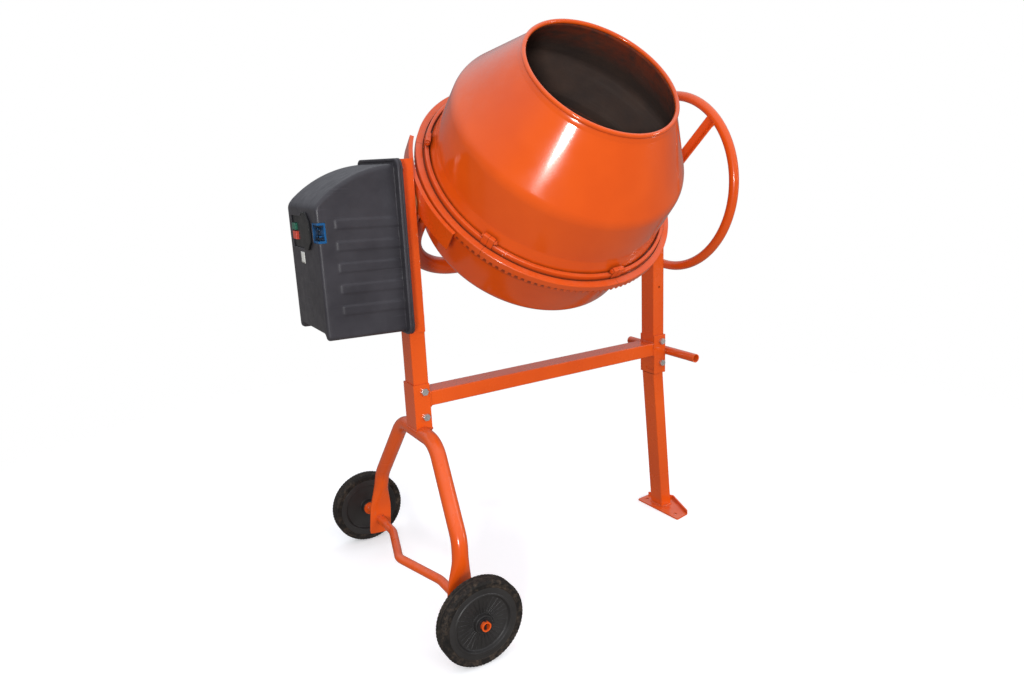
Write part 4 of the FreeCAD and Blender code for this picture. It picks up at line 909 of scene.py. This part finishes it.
def house_section(x, y0, y1, low, high, radius, detailed):
    """One closed loop round the housing at x: bottom, front side, top and rear side."""
    loop = []
    bottom_steps, side_steps, rear_steps, turns = 24, 150, 24, 8

    def corner(cy, cz, start):
        """A quarter circle round this centre, from the start angle backwards."""
        for t in range(turns):
            a = math.radians(start - 90.0 * t / turns)
            loop.append(Vector((x, cy + radius * math.cos(a), cz + radius * math.sin(a))))

    for t in range(bottom_steps):
        y = (y1 - radius) + (y0 + radius - (y1 - radius)) * t / bottom_steps
        lift = 0.0
        if detailed:
            inside = soft_step(y, *ARCH_Y[:2]) * (1 - soft_step(y, *ARCH_Y[2:]))
            lift = ARCH_LIFT * inside * (1 - soft_step(x, *ARCH_X))
        loop.append(Vector((x, y, low + lift)))
    corner(y0 + radius, low + radius, 270.0)
    for t in range(side_steps):
        z = low + radius + (high - low - 2 * radius) * t / side_steps
        proud = rib_height(x, z) if detailed else 0.0
        loop.append(Vector((x, y0 - proud, z)))
    corner(y0 + radius, high - radius, 180.0)
    for t in range(bottom_steps):
        loop.append(Vector((x, y0 + radius + (y1 - y0 - 2 * radius) * t / bottom_steps, high)))
    corner(y1 - radius, high - radius, 90.0)
    for t in range(rear_steps):
        loop.append(Vector((x, y1, high - radius - (high - low - 2 * radius) * t / rear_steps)))
    corner(y1 - radius, low + radius, 0.0)
    return loop


def cut_box(target, low, high, rounding):
    """Cuts a rounded box, given in machine millimetres, out of a piece for good."""
    work = bmesh.new()
    bmesh.ops.create_cube(work, size=1.0)
    fit_cube(work.verts, low, high)
    bmesh.ops.bevel(work, geom=work.edges, offset=rounding * MM, segments=4, profile=0.5,
                    affect="EDGES")
    mesh = bpy.data.meshes.new("cutter")
    work.to_mesh(mesh)
    work.free()
    cutter = bpy.data.objects.new("cutter", mesh)
    bpy.context.scene.collection.objects.link(cutter)
    knife = target.modifiers.new("cut", "BOOLEAN")
    knife.operation, knife.solver, knife.object = "DIFFERENCE", "EXACT", cutter
    freeze(target)
    bpy.data.objects.remove(cutter)


def freeze(piece):
    """Applies every modifier on a piece of this script's own."""
    bpy.context.view_layer.update()
    graph = bpy.context.evaluated_depsgraph_get()
    mesh = bpy.data.meshes.new_from_object(piece.evaluated_get(graph))
    piece.modifiers.clear()
    piece.data = mesh


def make_housing():
    """Moulded cover: rim flange with a bead, arched body with ribs, rounded end."""
    rows = []
    for x, inset in RIM_STEPS:
        rows.append(house_section(x, RIM_Y[0] + inset, RIM_Y[1] - inset, RIM_Z[0] + inset,
                                  RIM_Z[1] - inset, RIM_ROUND - inset, False))
    for x, out in FILLET_STEPS:
        rows.append(house_section(x, HOUSE_Y0 - out, HOUSE_Y1 + min(out, 0.4), FILLET_Z - out,
                                  CROWN[0][1] + min(out, 1.4), HOUSE_ROUND + out, False))
    stations = [BODY_FRONT, LOW_AT] + [BODY_FROM - BODY_STEP * k for k in range(BODY_STEPS)]
    for x in stations:
        rows.append(house_section(x, HOUSE_Y0, HOUSE_Y1, underside(x), roof(x), HOUSE_ROUND, True))
    for t in range(1, END_STEPS + 1):
        angle = math.radians(90.0 * t / END_STEPS)
        x = HOUSE_END + END_ROUND * (1 - math.sin(angle))
        inset = END_ROUND * (1 - math.cos(angle))
        rows.append(house_section(x, HOUSE_Y0 + inset, HOUSE_Y1 - inset, underside(x) + inset,
                                  roof(x) - inset * 0.9, max(HOUSE_ROUND - inset * 0.75, LEAST_ROUND),
                                  True))
    mesh = grid_mesh("housing_shell", [[at(*p) for p in row] for row in rows],
                     closed_across=True)
    work = edit(mesh)
    work.verts.ensure_lookup_table()
    width = len(rows[0])
    work.faces.new([work.verts[(len(rows) - 1) * width + k] for k in range(width)])
    close_edit(work, mesh)
    piece = new_piece("housing_shell", mesh, "frame", "housing", 0)
    wall = piece.modifiers.new("wall", "SOLIDIFY")
    wall.thickness, wall.offset = HOUSE_WALL * MM, -1.0
    freeze(piece)
    cut_box(piece, *SWITCH_CUT)
    cut_box(piece, *INLET_CUT)
    piece.data.shade_smooth()
    piece.data.set_sharp_from_angle(angle=math.radians(38.0))
    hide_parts("housing_cover")


def make_label():
    """The small blank label under the switch, one corner lifting."""
    rows = []
    for i in range(LABEL_UP + 1):
        row = []
        for j in range(LABEL_ACROSS + 1):
            across, up = 0.5 - j / LABEL_ACROSS, i / LABEL_UP - 0.5
            curl = LABEL_CURL * max(0.0, up - 0.2) * max(0.0, across - 0.1)
            row.append(at(HOUSE_END - LABEL_PROUD - curl, LABEL_Y + LABEL_WIDE * across,
                          LABEL_Z + LABEL_HIGH * up))
        rows.append(row)
    piece = new_piece("blank_label", grid_mesh("blank_label", rows), "frame", "label")
    film = piece.modifiers.new("film", "SOLIDIFY")
    film.thickness, film.offset = LABEL_THICK * MM, 0.0
    freeze(piece)


# ------------------------------------------------------------------ welds
BEAM_ENDS, BEAM_Y, BEAM_LOW, BEAM_HIGH = (20.6, 727.4), 29.1, 489.9, 528.1
LEG_FOOT = 781.6, 4.6, 18.6, 25.6           # middle x, height, half x, half y
SADDLE_TOP = -1.4, 433.6, 21.2, 28.4        # the same for the stand's saddle
HANDLE_X, HANDLE_Y, HANDLE_Z, HANDLE_BAR = 771.6, 29.0, 497.0, (-9.5, 9.5)
AXLE_X, AXLE_Z, AXLE_R, COLLAR_R = -41.0, 100.0, 12.0, 11.8
AXLE_BEADS, COLLAR_BEAD = (235.6, 246.4), 315.6             # y, on both sides
STITCHES, STITCH_X, STITCH_Y, STITCH_LONG = 6, 18.6, -28.0, 24.0
STITCH_LOW, STITCH_PITCH = 700.0, 62.0
YOKE_ARM, YOKE_EDGE, YOKE_DOWN = 339.0, 17.5, (52, 75, 98, 116)     # along the drum's frame
TRUNNION_X, TRUNNION_R, TRUNNION_POINTS = -349.0, 23.6, 32
# The hand wheel's spokes are V angles that lean outwards from a ridge near the hub.
SPOKE_RIDGE, RIDGE_AT = 801.0, 20.0
SPOKE_LEAN = math.radians(5.6)
SPOKE_ANGLES, SPOKE_ENDS = (135.0, 315.0), (25.0, 220.5)
SPOKE_V = ((-16.0, -16.8), (-7.5, -8.5), (0.6, 0.0), (-7.5, 8.5), (-16.0, 16.8))


def soft_rectangle(low, high):
    """A rectangle between two opposite corners, with its corners rounded."""
    corners = [low, (high[0], low[1]), high, (low[0], high[1])]
    return rounded(corners, [3] * 4, 2.0)


def level_outline(centre_x, z, half_x, half_y):
    """A level rectangle at height z, in machine millimetres."""
    flat = soft_rectangle((centre_x - half_x, -half_y), (centre_x + half_x, half_y))
    return [(x, y, z) for x, y in flat]


def in_drum_frame(x, y, height):
    """A point given along the drum frame's axes, in machine millimetres."""
    return DRUM_CENTRE + DRUM.to_3x3() @ Vector((x, y, height))


def frame_welds():
    """Beads on the beam, leg foot, lifting handle, saddle, axle and motor bracket."""
    for k, x in enumerate(BEAM_ENDS):
        outline = soft_rectangle((-BEAM_Y, BEAM_LOW), (BEAM_Y, BEAM_HIGH))
        bead("beam_weld_%d" % (k + 1), "frame", [(x, y, z) for y, z in outline], 2.2,
             seed=11 + k, closed=True)
    bead("leg_foot_weld", "frame", level_outline(*LEG_FOOT), 2.6, seed=21, closed=True)
    for k, dz in enumerate(HANDLE_BAR):
        ends = [(HANDLE_X, y, HANDLE_Z + dz) for y in (-HANDLE_Y, HANDLE_Y)]
        bead("handle_weld_%d" % (k + 1), "frame", ends, 2.4, seed=31 + k)
    bead("saddle_weld", "frame", level_outline(*SADDLE_TOP), 2.6, seed=41, closed=True)
    for end, side in (("front", -1), ("rear", 1)):
        for k, y in enumerate(AXLE_BEADS):
            bead("axle_weld_%s_%d" % (end, k + 1), "frame",
                 circle_about_y((AXLE_X, side * y, AXLE_Z), AXLE_R), 1.7, seed=51 + k, closed=True)
        bead("collar_weld_%s" % end, "frame",
             circle_about_y((AXLE_X, side * COLLAR_BEAD, AXLE_Z), COLLAR_R), 1.4, seed=57,
             closed=True)
    for k in range(STITCHES):
        low = STITCH_LOW + STITCH_PITCH * k
        ends = [(STITCH_X, STITCH_Y, z) for z in (low, low + STITCH_LONG)]
        bead("bracket_stitch_%d" % (k + 1), "frame", ends, 1.5, seed=61 + k)


def yoke_welds():
    """Beads along the yoke's arms, round the trunnion and across the hand wheel's spokes."""
    for side, name in ((-1, "left"), (1, "right")):
        for k, edge in enumerate((-YOKE_EDGE, YOKE_EDGE)):
            path = [in_drum_frame(side * YOKE_ARM, edge, -down) for down in YOKE_DOWN]
            bead("yoke_weld_%s_%d" % (name, k + 1), "tilting_yoke", path, 2.6, seed=71 + k)
    ring = [in_drum_frame(TRUNNION_X, TRUNNION_R * math.cos(a), TRUNNION_R * math.sin(a))
            for a in (2 * math.pi * t / TRUNNION_POINTS for t in range(TRUNNION_POINTS))]
    bead("trunnion_weld", "tilting_yoke", ring, 1.6, seed=81, closed=True)
    hub = Vector((0, 0, DRUM_CENTRE.z))
    for k, angle in enumerate(SPOKE_ANGLES):
        turn = Matrix.Rotation(math.radians(angle - 90.0), 3, "X")
        for t, height in enumerate(SPOKE_ENDS):
            ridge = SPOKE_RIDGE + (height - RIDGE_AT) * math.tan(SPOKE_LEAN)
            path = [hub + turn @ Vector((ridge + dx, y, height)) for dx, y in SPOKE_V]
            bead("spoke_weld_%d_%d" % (k + 1, t + 1), "tilting_yoke", path, 1.8, seed=91 + k)


make_camera()
make_stage()
make_floor()
dress_cad()
drum_upper()
drum_lower()
make_wheels()
wheel_stand()
make_housing()
make_label()
frame_welds()
yoke_welds()
